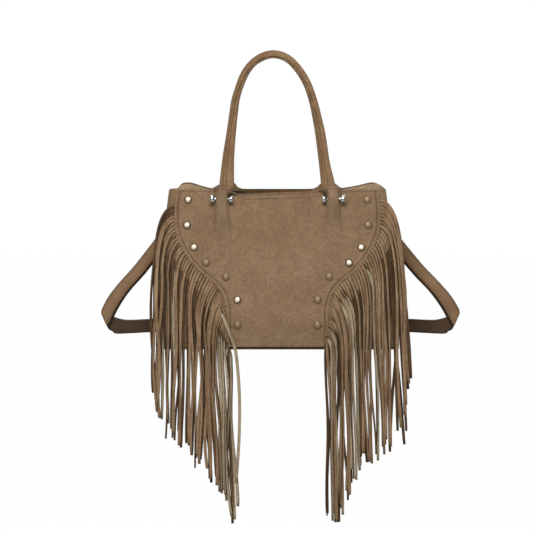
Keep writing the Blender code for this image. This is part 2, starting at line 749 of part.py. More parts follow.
def strap_axis():
    """The middle of the line through the top bars of the two rings, which the strap swings on."""
    return (0, ring_y(), height(RING_DROP))


def shoulder_strap(holes):
    """One strap from ring to ring: down each side, folded over, and straight across the back."""
    halves = []
    for side in (-1, 1):
        stations, place, fold_edge, fold_out = strap_side(side)
        centre = np.array(STRAP_FOLD) + (side * STRAP_SHIFT, 0)
        near = back_y(STRAP_FOLD[1], RING_OUT - LOOP_RADIUS)
        for i in range(7):
            turn = math.pi * i / 6
            flat = centre + fold_out * FOLD_RADIUS * math.sin(turn)
            normal = (fold_out[0] * math.sin(turn), -math.cos(turn), fold_out[1] * math.sin(turn))
            y_here = near + FOLD_RADIUS * (1 - math.cos(turn))
            stations.append(place(flat, y_here, fold_edge, normal))
        for i, flat in enumerate(STRAP_LOWER):
            share = min(1, (i + 1) / 3)
            edge = fold_edge * (1 - share) + np.array((0, 1)) * share
            edge = edge / np.linalg.norm(edge)
            shifted = (flat[0] + side * STRAP_SHIFT, flat[1])
            y_here = back_y(flat[1], RING_OUT - LOOP_RADIUS) + 2 * FOLD_RADIUS
            stations.append(place(shifted, y_here, edge, (0, 1, 0)))
        halves.append(stations)
    left, right = halves
    whole = [(*station, STRAP_WIDTH, STRAP_THICK) for station in left + right[::-1]]
    return band("shoulder_strap", whole, STRAP_LOOK, strap_axis(), holes)


def strap_rivets():
    """A rivet through the two layers behind each ring; returns the rivets and the cutters for their shanks."""
    rivets, cutters = [], []
    down = strap_direction()
    flat = np.array((RING_X, RING_DROP)) + down * (RING_REACH + RIVET_BACK)
    reach = LOOP_RADIUS + STRAP_THICK / 2 + 2 * SEAM_GAP
    for word, side in (("left", -1), ("right", 1)):
        centre = (side * flat[0], ring_y(flat[1]), height(flat[1]))
        cap = [(-reach - 1, 0.4), (-reach - 1, RIVET_SHANK + 1), (-reach, RIVET_SHANK + 1), (-reach, RIVET_SHANK)]
        cap += [(reach, RIVET_SHANK), (reach, RIVET_RADIUS), (reach + 0.7, RIVET_RADIUS)]
        cap += [(reach + 1.5, RIVET_RADIUS * 0.6), (reach + 1.5, 0.4)]
        rivets.append(lathe(f"strap_rivet_{word}", centre, (0, 1, 0), cap, NICKEL_LOOK))
        hole = [(-reach - 2, RIVET_SHANK + HOLE_GAP), (reach + 2, RIVET_SHANK + HOLE_GAP)]
        cutters.append(lathe(f"hole_rivet_{word}", centre, (0, 1, 0), hole, NICKEL_LOOK))
    return rivets, cutters


def snap():
    """The two halves of a magnetic snap on the lining, facing each other inside the mouth."""
    face = half_depth(SNAP_DROP) - PANEL_THICK - LINING_THICK - 4 * SEAM_GAP
    for name, side in (("snap_socket", -1), ("snap_post", 1)):
        nose = 2.2 if name == "snap_post" else 0.8
        profile = [(0, 0.4), (0, SNAP_RADIUS), (SNAP_THICK * 0.6, SNAP_RADIUS), (SNAP_THICK, SNAP_RADIUS - 1.2)]
        profile += [(SNAP_THICK, 4), (SNAP_THICK + nose, 3.6), (SNAP_THICK + nose, 0.4)]
        centre = (0, side * (face - 0.6), height(SNAP_DROP))
        lathe(name, centre, (0, -side, 0), profile, NICKEL_LOOK)


def main():
    clear_scene()
    overlay_out = OVERLAY_LIFT + OVERLAY_THICK
    front_sleeves, front_handle = pins("front", -1, overlay_out)
    back_sleeves, back_handle = pins("back", 1, 0)
    front_panel()
    back_drops = SLEEVE_ROWS + [row * STRETCH for row in BACK_ROWS] + [BODY_HEIGHT]
    sleeved_panel("back_panel", 1, flat_half, 0, PANEL_THICK, back_drops, False, back_sleeves)
    gusset("gusset_left", -1, [])
    gusset("gusset_right", 1, [])
    base_panel()
    lining()
    post_holes = studs()
    overlay_drops = SLEEVE_ROWS + [row * STRETCH for row in LOWER_ROWS]
    holes = front_sleeves + post_holes
    sleeved_panel("front_overlay", -1, overlay_half, overlay_out, OVERLAY_THICK, overlay_drops, True, holes)
    rings = []
    for word, side in (("left", -1), ("right", 1)):
        piping(f"piping_{word}", side)
        fringe(f"fringe_{word}", side)
        chape(f"chape_{word}", side)
        rings.append(strap_ring(f"strap_ring_{word}", side))
    handle("front", -1, overlay_out, front_handle)
    handle("back", 1, 0, back_handle)
    rivets, rivet_holes = strap_rivets()
    strap = shoulder_strap(rivet_holes)
    hinge("strap_hinge", strap_axis(), [strap] + rings + rivets + rivet_holes)
    snap()


main()
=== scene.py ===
"""Looks of the fringed suede bag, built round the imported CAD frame.

Lengths are in millimetres until make() turns them into metres. Lamps and floor are in metres.
"""

import math
import random

import bmesh
import bpy
import numpy as np
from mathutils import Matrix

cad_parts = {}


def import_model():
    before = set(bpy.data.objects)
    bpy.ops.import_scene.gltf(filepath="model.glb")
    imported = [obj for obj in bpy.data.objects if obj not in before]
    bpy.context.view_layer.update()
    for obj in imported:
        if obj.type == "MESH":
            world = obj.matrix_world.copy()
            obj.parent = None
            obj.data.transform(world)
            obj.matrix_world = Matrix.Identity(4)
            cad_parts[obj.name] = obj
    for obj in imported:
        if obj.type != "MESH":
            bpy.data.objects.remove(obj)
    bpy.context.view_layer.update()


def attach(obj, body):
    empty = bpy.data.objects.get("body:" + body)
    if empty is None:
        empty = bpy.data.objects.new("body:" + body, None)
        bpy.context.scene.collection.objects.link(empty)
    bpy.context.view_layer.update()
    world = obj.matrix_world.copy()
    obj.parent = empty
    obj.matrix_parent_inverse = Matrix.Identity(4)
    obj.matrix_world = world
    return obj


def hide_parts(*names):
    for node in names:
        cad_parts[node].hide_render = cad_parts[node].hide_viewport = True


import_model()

MM = 0.001
SIDES = (("left", -1), ("right", 1))

# Sizes of the body: those of the solids, with the tuck and the rises that the photo shows on top of them.
# Places on a panel are (x, drop), where the drop is how far below the mouth line; the tables go by drop.
HANG_TO_MOUTH = 207.0
BODY_HEIGHT = 252.0
MOUTH_HALF_WIDTH = 174.0
BASE_WIDENING = 21.0
WIDENING_POWER = 1.6
MOUTH_HALF_DEPTH = 45.0
BASE_HALF_DEPTH = 65.0
PANEL_SLOPE = (BASE_HALF_DEPTH - MOUTH_HALF_DEPTH) / BODY_HEIGHT
TUCK_FROM = 202.0
TUCK = 8.0
CORNER_RADIUS = 18.0
PANEL_THICK = 2.0
PANEL_GAP = 0.15
LINING_INSET = 2.9
OVERLAY_OUT = 4.0
OVERLAY_ROWS = 110
OVERLAY_EDGE = [
    (0, 157), (20, 160), (40, 161.2), (60, 160.3), (78, 155.5), (94, 147.5), (108, 138.5), (121, 128),
    (134, 114), (146, 99), (157, 89.5), (170, 82.5), (186, 78.8), (215, 77.4), (251, 78.4),
]
SLEEVE_CENTRE = [(0, 84.5), (6, 88), (14, 89.5), (22, 89.5), (80, 88)]
SLEEVE_HALF = [(0, 16), (3, 14.8), (6.5, 11.4), (14, 10.8), (22, 10.9), (40, 12), (80, 15)]
SLEEVE_BULGE = [
    (0, 21.8), (7, 20.2), (14, 19), (22, 17.2), (33, 13.4), (46, 9), (62, 4.6), (80, 1.4), (100, 0),
]
# How far the two top edges stand above the mouth line, across the bag, and how far down that reaches.
FRONT_RISE = [
    (-174, 0.4), (-106, 0.3), (-103, 3), (-100, 6.2), (-86, 4.8), (-77.4, -1), (-68.8, -6), (-56, -7.2),
    (0, -4.6), (52, -2.2), (66, -1), (76, 1.6), (82, 7), (98, 6.8), (102, 2.4), (106, 0.4), (174, 0.8),
]
BACK_RISE = [
    (-174, 1), (-162, 1.2), (-159, 3.5), (-156, 8.4), (-151, 10.6), (-142, 10.9), (-134, 9.2), (-124, 5.8),
    (-106, 1), (-100, 5), (-92, 9), (-72, 10), (-68, 8), (-64, 3), (-56, 0), (52, 0), (61, 1.5), (67, 5.6),
    (72, 9), (90, 11.5), (96, 8), (104, 1.5), (130, 6), (146, 10), (154, 11), (161, 9.6), (168, 6), (174, 1),
]
FRONT_REACH = 30.0
BACK_REACH = 40.0
# The tape at the middle of the back mouth edge reaches this far to each side.
MIDDLE_HALF = 55.0
# The back panel's inner face is brown up to here and pale beyond, with a painted edge.
SLEEVE_FACED = 104.0
EDGE_PAINTED = 1.6

# Handles, pins and studs.
# A handle's line from foot to foot: (x, height over the mouth, half width, half depth).
HANDLE_LINE = [
    (-89.5, -23, 5.5, 4), (-89.5, -14, 6, 4), (-88.2, -6, 7, 4.2), (-84.6, 2, 9.8, 4.8),
    (-81.8, 9, 11.5, 5.8), (-80.8, 24, 10.8, 6.4),
    (-78.6, 54, 9.1, 6.8), (-73.5, 97, 7.3, 7), (-67.4, 142, 6.6, 6.6), (-59.5, 168, 6.5, 6.5),
    (-47.4, 191, 6.5, 6.5), (-30, 207, 6.6, 6.6), (-8, 214, 6.8, 6.8), (14, 208.5, 6.6, 6.6),
    (31.5, 193, 6.5, 6.5), (47, 169, 6.5, 6.5), (57.3, 140.6, 6.7, 6.6), (64.4, 110.5, 7.4, 6.8),
    (69.6, 84, 8.1, 6.8), (75, 45, 8.5, 6.8), (78.6, 24, 9.8, 6.4), (81.2, 9, 10.8, 5.8),
    (84.4, 2, 9.6, 4.8), (88.2, -6, 7, 4.2), (89.5, -14, 6, 4), (89.5, -23, 5.5, 4),
]
HANDLE_TOP_Y = 8.3
HANDLE_STRETCH = 3.5
HANDLE_SIDES = 48
# Along the handle: where the groove lies round the cord, in degrees, and on which side of it the flap is.
HANDLE_GROOVE = [(0, 94), (0.25, 92), (0.5, 52), (0.75, 86), (1, 86)]
HANDLE_FLAP = [(0, 1), (0.3, 1), (0.45, -1), (1, -1)]
# The stitches of a handle start this far above the mouth, by the sleeve they come out of.
STITCHES_FROM = {"front": 4, "back": 16}
PIN_DROP = 14.0
PIN_OUT = 10.0
PIN_RADIUS = 2.0
PIN_HEAD_RADIUS = 6.2
PIN_HEAD_LENGTH = 7.0
PIN_HEAD_FROM = 11.4
# Studs from the top down as (drop, x), and the numbers of those that shine on each side; the others take a
# darker copy of the nickel, painted shade.
STUD_PLACES = [
    (15.6, 143.3), (56.2, 145.2), (91.7, 134), (116.6, 114.5), (139, 82.6), (175.8, 64.2), (216.1, 63.9),
]
STUD_RADIUS = 6.3
STUDS_SHINY = {"left": (1, 2, 3, 6), "right": (3, 4)}

# Strap, rings and snap. The strap's line is (x, drop), from a ring to its fold and back behind the bag.
STRAP_WIDTH = 22.0
STRAP_THICK = 2.6
STRAP_RUN = [(176, 68), (200.5, 99.5), (226, 131), (250, 157), (269, 182)]
STRAP_FOLD = (281, 212)
STRAP_LOWER = [(271, 219.5), (249, 222.6), (210, 221), (150, 219), (60, 218)]
FOLD_LEAN = math.radians(24)
FOLD_RADIUS = 3.2
MOST_WIDENED = 1.4
STRAP_SHIFT = 5.0
STRAP_TAIL = 30.0
RING_WIRE = 2.0
RING_BAR = 31.0
RING_CORNER = 4.2
RING_X = 158.0
RING_DROP = 44.0
RING_OUT = 7.0
RING_REACH = 17.0
LOOP_RADIUS = 3.5
CHAPE_HEIGHT = 24.0
CHAPE_THICK = 2.3
RIVET_BACK = 14.0
SNAP_DROP = 26.0
SNAP_OUT = 4.8

# Stitches: pitch, length, width, and how deep each sits as a share of its width.
TAPE_STITCH = (3.3, 2.3, 0.9, 0.25)
HANDLE_STITCH = (3.8, 2.8, 0.95, 0.25)
STRAP_STITCH = (4.2, 3.0, 0.95, 0.25)
CHAPE_STITCH = (3.4, 2.4, 0.7, 0.25)
BACK_STITCH = (3.3, 2.3, 0.7, 0.3)
EDGE_STITCH = (3.3, 2.5, 1.0, 0.35)
MOUTH_STITCH = (3.2, 2.4, 1.05, 0.35)
BOX_STITCH = (3.2, 2.4, 1.15, 0.35)
# The box of stitches at the middle of the mouth: left, right, top drop, lower drop.
BOX = (-54.5, 51.5, 2.8, 11.5)
# Rows of stitches on the back panel: from x, to x, drop, steps.
BACK_ROWS = ((-61, 61, 2.8, 80), (-61, 61, 8.5, 80), (-108, -153, 3.2, 40), (108, 153, 3.2, 40))

# Fringe: (share of the way down the seam, x beside the base, tip x, tip drop) of the strips on each side.
STRIPS = 47
FRINGE_START = {"left": 26.0, "right": 17.0}
FRINGE_END = 247.0
FRINGE_FALL = {
    "left": [
        (0, 198, 200, 306), (0.05, 195, 197, 332), (0.12, 189, 190, 348), (0.2, 179, 180, 372),
        (0.3, 163, 166, 396), (0.42, 145, 146, 416), (0.52, 130, 131, 430), (0.62, 117, 113, 456),
        (0.7, 110, 106, 454), (0.78, 101, 95, 470), (0.86, 91, 85, 490), (0.93, 82, 76, 532),
        (1, 72, 63, 508),
    ],
    "right": [
        (0, 202, 216, 300), (0.05, 200, 210, 330), (0.12, 194, 203, 372), (0.2, 183, 191, 394),
        (0.3, 166, 173, 406), (0.42, 148, 155, 426), (0.52, 132, 139, 432), (0.62, 119, 124, 458),
        (0.7, 111, 113, 478), (0.78, 103, 104, 508), (0.86, 95, 96, 516), (0.93, 86, 87, 536),
        (1, 77, 77, 522),
    ],
}
STRIP_WIDTH = 5.2
STRIP_THICK = 1.4
# Where the points of a strip's section lie, as shares of its half width.
STRIP_COLUMNS = (-1, -0.6, 0, 0.6, 1)
# This many rings make up the arch off the seam.
ARCH_RINGS = 8
# Degrees that a strip turns off the seam: the first ones on the left, and the range of the others.
EDGE_ON_TURN = 68
TURN_RANGE = (34, 50)
# How often the innermost strips of a side show their pale flesh, and how often the others do.
PALE_INNER = {"left": 0.8, "right": 0.5}
PALE_OTHERS = 0.1
# One strip has strayed over the overlay's lower corner on the left; (x, drop, out).
STRAY_STRIP = [
    (-74, 180, 1.5), (-84, 184, 3), (-89, 193, 6.5), (-84.5, 207, 8.5), (-75, 232, 9), (-67, 256, 8.5),
    (-62, 304, 7), (-60.5, 352, 6), (-62, 410, 5), (-66, 468, 4),
]
SEED = 20261128
WAVE_PHASES = {}
TURNED_SIDES = 40
SHARP_ANGLE = math.radians(50)


def along(table, at, column=1):
    """A value from a table by straight lines between its rows."""
    return float(np.interp(at, [row[0] for row in table], [row[column] for row in table]))


def smooth_along(table, at):
    """A value from a table by a smooth curve through its points."""
    xs = [row[0] for row in table]
    ys = [row[1] for row in table]
    slopes = np.gradient(ys, xs)
    at = min(max(at, xs[0]), xs[-1])
    i = min(max(np.searchsorted(xs, at) - 1, 0), len(xs) - 2)
    span = xs[i + 1] - xs[i]
    t = (at - xs[i]) / span
    start = (2 * t**3 - 3 * t**2 + 1) * ys[i] + (t**3 - 2 * t**2 + t) * span * slopes[i]
    end = (3 * t**2 - 2 * t**3) * ys[i + 1] + (t**3 - t**2) * span * slopes[i + 1]
    return start + end


def smooth_rows(rows, steps):
    """Rows of numbers with more put between them by a smooth curve."""
    rows = np.array(rows, float)
    padded = np.vstack([2 * rows[0] - rows[1], rows, 2 * rows[-1] - rows[-2]])
    made = []
    for i in range(len(rows) - 1):
        a, b, c, d = padded[i : i + 4]
        for step in range(steps):
            t = step / steps
            made.append(b + 0.5 * t * (c - a + t * (2 * a - 5 * b + 4 * c - d + t * (3 * (b - c) + d - a))))
    made.append(rows[-1])
    return np.array(made)


def half_width(drop):
    share = min(max(drop / BODY_HEIGHT, 0), 1)
    return MOUTH_HALF_WIDTH + BASE_WIDENING * (1 - (1 - share) ** WIDENING_POWER)


def half_depth(drop):
    """Half the body's depth; the panels tuck under towards the base."""
    drop = min(max(drop, 0), BODY_HEIGHT)
    tuck = max(0.0, (drop - TUCK_FROM) / (BODY_HEIGHT - TUCK_FROM)) ** 2 * TUCK
    return MOUTH_HALF_DEPTH + PANEL_SLOPE * drop - tuck


def height(drop):
    return -HANG_TO_MOUTH - drop


def overlay_half(drop):
    return smooth_along(OVERLAY_EDGE, drop)


def on_front(x, drop, out):
    return np.array((x, -(half_depth(drop) + out), height(drop)))


def unit(v):
    v = np.asarray(v, float)
    return v / max(np.linalg.norm(v), 1e-9)


def hump(value, middle, width):
    """A soft bump, 1 at its middle."""
    return math.exp(-(((value - middle) / width) ** 2))


def turns_of(count):
    """Angles spread evenly round a circle."""
    return [math.tau * i / count for i in range(count)]


def wave(x, z, seed):
    """A slow, seeded unevenness of leather, from -1 to 1."""
    if seed not in WAVE_PHASES:
        WAVE_PHASES[seed] = np.random.RandomState(seed).uniform(0, math.tau, 6)
    phase = WAVE_PHASES[seed]
    total = 0.0
    for i, (a, b) in enumerate(((61, 83), (97, 47), (38, 120), (140, 66), (52, 35), (29, 58))):
        total += math.sin(x / a * 2 + phase[i]) * math.cos(z / b * 2 + phase[5 - i])
    return total / 3


# Materials.


class Nodes:
    """Short calls for the nodes of one material."""

    def __init__(self, name):
        self.material = bpy.data.materials.new(name)
        self.material.use_nodes = True
        self.tree = self.material.node_tree
        self.shader = self.tree.nodes["Principled BSDF"]
        self.place = self.add("ShaderNodeTexCoord").outputs["Object"]

    def add(self, kind, **values):
        node = self.tree.nodes.new(kind)
        for key, value in values.items():
            setattr(node, key, value)
        return node

    def link(self, a, b):
        self.tree.links.new(a, b)

    def noise(self, scale, detail=3.0, rough=0.5, stretch=None):
        node = self.add("ShaderNodeTexNoise")
        node.inputs["Scale"].default_value = scale
        node.inputs["Detail"].default_value = detail
        node.inputs["Roughness"].default_value = rough
        if stretch:
            mapping = self.add("ShaderNodeMapping")
            mapping.inputs["Scale"].default_value = stretch
            self.link(self.place, mapping.inputs["Vector"])
            self.link(mapping.outputs["Vector"], node.inputs["Vector"])
        else:
            self.link(self.place, node.inputs["Vector"])
        return node.outputs["Fac"]

    def ramp(self, value, stops):
        node = self.add("ShaderNodeValToRGB")
        fill_ramp(node.color_ramp, [(at, srgb(*colour)) for at, colour in stops])
        self.link(value, node.inputs["Fac"])
        return node.outputs["Color"]

    def mix(self, kind, share, a, b):
        node = self.add("ShaderNodeMix", data_type="RGBA", blend_type=kind)
        for socket, value in ((node.inputs["Factor"], share), (node.inputs[6], a), (node.inputs[7], b)):
            if isinstance(value, bpy.types.NodeSocket):
                self.link(value, socket)
            elif isinstance(value, float):
                socket.default_value = value
            else:
                socket.default_value = (*value, 1)
        return node.outputs[2]

    def bump(self, parts):
        """Bumps stacked on each other, as (value, strength, distance in metres)."""
        last = None
        for value, strength, distance in parts:
            node = self.add("ShaderNodeBump")
            node.inputs["Strength"].default_value = strength
            node.inputs["Distance"].default_value = distance
            self.link(value, node.inputs["Height"])
            if last:
                self.link(last, node.inputs["Normal"])
            last = node.outputs["Normal"]
        self.link(last, self.shader.inputs["Normal"])

    def set(self, **values):
        for key, value in values.items():
            self.shader.inputs[key.replace("_", " ")].default_value = value

    def spread(self, value, low, high):
        """A noise value drawn out to a range."""
        node = self.add("ShaderNodeMapRange")
        node.inputs["From Min"].default_value = 0.3
        node.inputs["From Max"].default_value = 0.7
        node.inputs["To Min"].default_value = low
        node.inputs["To Max"].default_value = high
        self.link(value, node.inputs["Value"])
        return node.outputs["Result"]


def srgb(red, green, blue):
    """A linear colour from 0 to 255 sRGB values."""
    out = []
    for value in (red, green, blue):
        value /= 255
        out.append(value / 12.92 if value <= 0.04045 else ((value + 0.055) / 1.055) ** 2.4)
    return tuple(out)


def fill_ramp(ramp, stops):
    """Stops of a colour ramp from (place, linear colour)."""
    while len(ramp.elements) < len(stops):
        ramp.elements.new(0.5)
    for element, (at, colour) in zip(ramp.elements, stops):
        element.position = at
        element.color = (*colour, 1)


def suede(name, low, middle, high, nap=1.0, stretch=None, sheen=0.2):
    """Brushed leather: cloudy patches where the nap lies differently, a fine pepper, and a short pile."""
    n = Nodes(name)
    patches = n.ramp(n.noise(26, 4, 0.6, stretch), [(0.32, low), (0.52, middle), (0.72, high)])
    pepper = n.ramp(n.noise(620, 2, 0.7), [(0.36, (168, 168, 168)), (0.62, (255, 255, 255))])
    speckle = n.ramp(n.noise(230, 3, 0.65), [(0.35, (206, 204, 202)), (0.62, (255, 255, 255))])
    colour = n.mix("MULTIPLY", 0.55, patches, pepper)
    n.link(n.mix("MULTIPLY", 0.6, colour, speckle), n.shader.inputs["Base Color"])
    n.link(n.spread(n.noise(40), 0.86, 0.98), n.shader.inputs["Roughness"])
    n.set(Specular_IOR_Level=0.16, Sheen_Weight=sheen, Sheen_Roughness=0.55)
    n.shader.inputs["Sheen Tint"].default_value = (*srgb(214, 190, 158), 1)
    n.bump([(n.noise(900, 2, 0.7), 0.5 * nap, 0.0004), (n.noise(160, 3, 0.55), 0.3 * nap, 0.0008)])
    return n.material


def smooth_leather(name, low, high, rough=0.42):
    """Finished leather with a fine pebble, a few creases and slightly uneven gloss."""
    n = Nodes(name)
    n.link(n.ramp(n.noise(24, 4, 0.6), [(0.3, low), (0.7, high)]), n.shader.inputs["Base Color"])
    n.link(n.spread(n.noise(60, 3), rough - 0.07, rough + 0.1), n.shader.inputs["Roughness"])
    cells = n.add("ShaderNodeTexVoronoi", feature="DISTANCE_TO_EDGE")
    cells.inputs["Scale"].default_value = 950
    n.link(n.place, cells.inputs["Vector"])
    n.set(Specular_IOR_Level=0.42)
    n.bump([(cells.outputs["Distance"], 0.35, 0.0003), (n.noise(140, 3, 0.6), 0.2, 0.0005)])
    return n.material


def cloth(name, dark, light):
    """A plain weave: two crossed sets of fine ribs over a cloudy dye."""
    n = Nodes(name)
    ribs = []
    for direction in ("X", "Z"):
        rib = n.add("ShaderNodeTexWave", bands_direction=direction)
        rib.inputs["Scale"].default_value = 420
        rib.inputs["Distortion"].default_value = 0.6
        n.link(n.place, rib.inputs["Vector"])
        ribs.append(rib.outputs["Fac"])
    weave = n.add("ShaderNodeMath", operation="MAXIMUM")
    n.link(ribs[0], weave.inputs[0])
    n.link(ribs[1], weave.inputs[1])
    clouds = n.ramp(n.noise(30, 3), [(0.3, dark), (0.7, light)])
    threads = n.ramp(weave.outputs[0], [(0.2, (150, 150, 150)), (0.9, (255, 255, 255))])
    n.link(n.mix("MULTIPLY", 0.8, clouds, threads), n.shader.inputs["Base Color"])
    n.set(Roughness=0.86, Specular_IOR_Level=0.2, Sheen_Weight=0.15)
    n.bump([(weave.outputs[0], 0.5, 0.0003)])
    return n.material


def metal(name, low, high, rough, spread, grain=0.12):
    """Plated metal with faint handling marks and uneven polish."""
    n = Nodes(name)
    n.link(n.ramp(n.noise(210, 4, 0.6), [(0.3, low), (0.7, high)]), n.shader.inputs["Base Color"])
    n.link(n.spread(n.noise(330, 4, 0.65), rough - spread, rough + spread), n.shader.inputs["Roughness"])
    n.set(Metallic=1.0)
    n.bump([(n.noise(700, 3, 0.6), grain, 0.0002)])
    return n.material


def thread(name, dark, light):
    """Twisted sewing thread."""
    n = Nodes(name)
    n.link(n.ramp(n.noise(1400, 2), [(0.3, dark), (0.7, light)]), n.shader.inputs["Base Color"])
    n.set(Roughness=0.62, Specular_IOR_Level=0.3)
    n.bump([(n.noise(2400, 2), 0.4, 0.0002)])
    return n.material


FACE = suede("suede_face", (141, 114, 87), (149, 121, 94), (157, 129, 102))
FLESH = suede("suede_flesh", (172, 144, 114), (187, 159, 128), (200, 173, 142), 1.4)
ALONG_STRIP = (3, 3, 0.7)
STRIP_FACE = suede("strip_face", (134, 106, 78), (156, 127, 97), (178, 148, 116), 1.0, ALONG_STRIP, 0.15)
# Darker copy of the strip face: painted shade for strips in the rear layers below the arch and for those
# turned edge-on.
STRIP_PAINTED_SHADE = suede("strip_face_painted_shade", (80, 60, 42), (98, 75, 53), (120, 94, 69), 1.0, ALONG_STRIP, 0.1)
# Cut edges of the strips: their own darker colour, deepened into painted shade that draws thin dark lines
# between the strips.
STRIP_EDGE_AND_SHADE = suede("strip_cut_edge_and_shade", (48, 34, 22), (64, 47, 32), (84, 63, 45), 1.0, ALONG_STRIP, 0.05)
STRIP_FLESH = suede("strip_flesh", (166, 149, 121), (186, 169, 141), (206, 189, 161), 1.5, ALONG_STRIP)
# Cut edges of the panels and the whole base: partly their own darker colour, partly painted shade beside the
# welt and along the base.
CUT_EDGE_AND_SHADE = suede("suede_cut_edge_and_shade", (94, 74, 54), (112, 90, 68), (128, 104, 80), 1.3)
HANDLE_FACE = suede("handle_suede", (134, 105, 76), (147, 117, 87), (158, 128, 97), 0.8)
STRAP_FACE = smooth_leather("strap_face", (128, 99, 70), (146, 116, 85), 0.36)
STRAP_BACK = smooth_leather("strap_back", (64, 43, 22), (84, 60, 35), 0.6)
# Edge paint on the strap's edges, and painted shade where the band runs onto the face along the inner edge.
STRAP_EDGE_PAINT_AND_SHADE = smooth_leather("strap_edge_paint_and_shade", (38, 25, 15), (52, 36, 22), 0.35)
LINING = cloth("lining_cloth", (56, 43, 31), (74, 58, 43))
NICKEL = metal("antique_nickel", (160, 149, 130), (190, 179, 160), 0.42, 0.07)
# A darker copy of the stud nickel for the studs that do not shine: painted shade.
NICKEL_PAINTED_SHADE = metal("antique_nickel_painted_shade", (126, 108, 86), (144, 124, 100), 0.55, 0.06)
# A darker copy of the nickel on the shiny studs' bevel and groove: painted shade that damps the bevel's
# highlight.
NICKEL_RIM_SHADE = metal("antique_nickel_rim_shade", (106, 92, 72), (138, 122, 98), 0.5, 0.08)
CHROME = metal("chrome", (205, 205, 207), (222, 222, 224), 0.05, 0.02, 0.02)
THREAD = thread("thread_brown", (104, 80, 56), (128, 101, 74))
DARK_THREAD = thread("thread_dark", (52, 37, 23), (72, 53, 35))
# The mouth tape's dark brown is painted shade of a facing in shadow; the handles' grooves take it too, as
# painted shade in the crease.
TAPE_PAINTED_SHADE = suede("mouth_tape_painted_shade", (88, 66, 46), (102, 78, 55), (116, 90, 65))


# Mesh making.


def make(name, points, faces, looks, nodes=(), face_looks=None, body="bag"):
    """A piece from points in millimetres, seated on its body."""
    mesh = bpy.data.meshes.new(name)
    mesh.from_pydata([tuple(p) for p in np.asarray(points, float) * MM], [], faces)
    for look in looks:
        mesh.materials.append(look)
    if face_looks is not None:
        mesh.polygons.foreach_set("material_index", np.asarray(face_looks, np.int32))
    work = bmesh.new()
    work.from_mesh(mesh)
    bmesh.ops.recalc_face_normals(work, faces=work.faces)
    work.to_mesh(mesh)
    work.free()
    mesh.shade_smooth()
    piece = bpy.data.objects.new(name, mesh)
    bpy.context.scene.collection.objects.link(piece)
    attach(piece, body)
    if nodes:
        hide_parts(*nodes)
    return piece


def grid_normals(grid, toward):
    """Unit normals of a grid of points, on the side that faces the given direction."""
    normals = np.cross(np.gradient(grid, axis=1), np.gradient(grid, axis=0))
    normals /= np.maximum(np.linalg.norm(normals, axis=2), 1e-9)[:, :, None]
    if np.sum(normals * np.asarray(toward, float)) < 0:
        normals = -normals
    return normals


def rim_of(rows, columns):
    """The border of a grid as (row, column) pairs, in order."""
    rim = [(0, c) for c in range(columns)]
    rim += [(r, columns - 1) for r in range(1, rows)]
    rim += [(rows - 1, c) for c in range(columns - 2, -1, -1)]
    rim += [(r, 0) for r in range(rows - 2, 0, -1)]
    return rim


def sheet(name, front, toward, node):
    """Leather with a face, a paler back and a rounded cut edge; the cut edge's darker look is partly its own
    colour and partly painted shade in the crevice beside the welt.
    """
    front = np.asarray(front, float)
    rows, columns = front.shape[:2]
    normals = grid_normals(front, toward)
    back = front - normals * PANEL_THICK
    rim = rim_of(rows, columns)
    edge = []
    for r, c in rim:
        inside = front[min(max(r, 1), rows - 2), min(max(c, 1), columns - 2)]
        out = front[r, c] - inside
        out = unit(out - normals[r, c] * np.dot(out, normals[r, c]))
        edge.append(front[r, c] - normals[r, c] * PANEL_THICK / 2 + out * PANEL_THICK * 0.35)
    points = np.concatenate([front.reshape(-1, 3), back.reshape(-1, 3), edge])
    faces, face_looks = [], []
    count = rows * columns
    for r in range(rows - 1):
        for c in range(columns - 1):
            a = r * columns + c
            quad = (a, a + 1, a + columns + 1, a + columns)
            faces += [quad, tuple(count + q for q in quad[::-1])]
            face_looks += [0, 1]
    for i in range(len(rim)):
        j = (i + 1) % len(rim)
        a, b = (rim[k][0] * columns + rim[k][1] for k in (i, j))
        faces += [(a, 2 * count + i, 2 * count + j, b), (2 * count + i, count + a, count + b, 2 * count + j)]
        face_looks += [2, 2]
    return make(name, points, faces, [FACE, FLESH, CUT_EDGE_AND_SHADE], [node], face_looks)


def tubes_of(rings_list, look_of=None):
    """Points, faces and looks of several capped tubes, each through rings of as many points."""
    points, faces, face_looks = [], [], []
    for rings in rings_list:
        base = len(points)
        size = len(rings[0])
        for ring in rings:
            points.extend(ring)
        for i in range(len(rings) - 1):
            for j in range(size):
                k = (j + 1) % size
                a, b = base + i * size, base + (i + 1) * size
                faces.append((a + j, a + k, b + k, b + j))
                face_looks.append(look_of(j) if look_of else 0)
        faces.append(tuple(base + j for j in range(size))[::-1])
        faces.append(tuple(base + (len(rings) - 1) * size + j for j in range(size)))
        face_looks += [look_of(0) if look_of else 0] * 2
    return points, faces, face_looks


def tube(name, rings, look, nodes=()):
    """A piece of one look on the bag, through rings of points."""
    points, faces, _ = tubes_of([rings])
    return make(name, points, faces, [look], nodes)


def lathe(centre, axis, profile):
    """Rings of a turned shape; the profile is (distance along the axis, radius)."""
    axis = unit(axis)
    first = unit(np.cross(axis, (0, 0, 1) if abs(axis[2]) < 0.9 else (1, 0, 0)))
    second = np.cross(axis, first)
    spokes = [first * math.cos(t) + second * math.sin(t) for t in turns_of(TURNED_SIDES)]
    return [[np.array(centre) + axis * at + spoke * radius for spoke in spokes] for at, radius in profile]


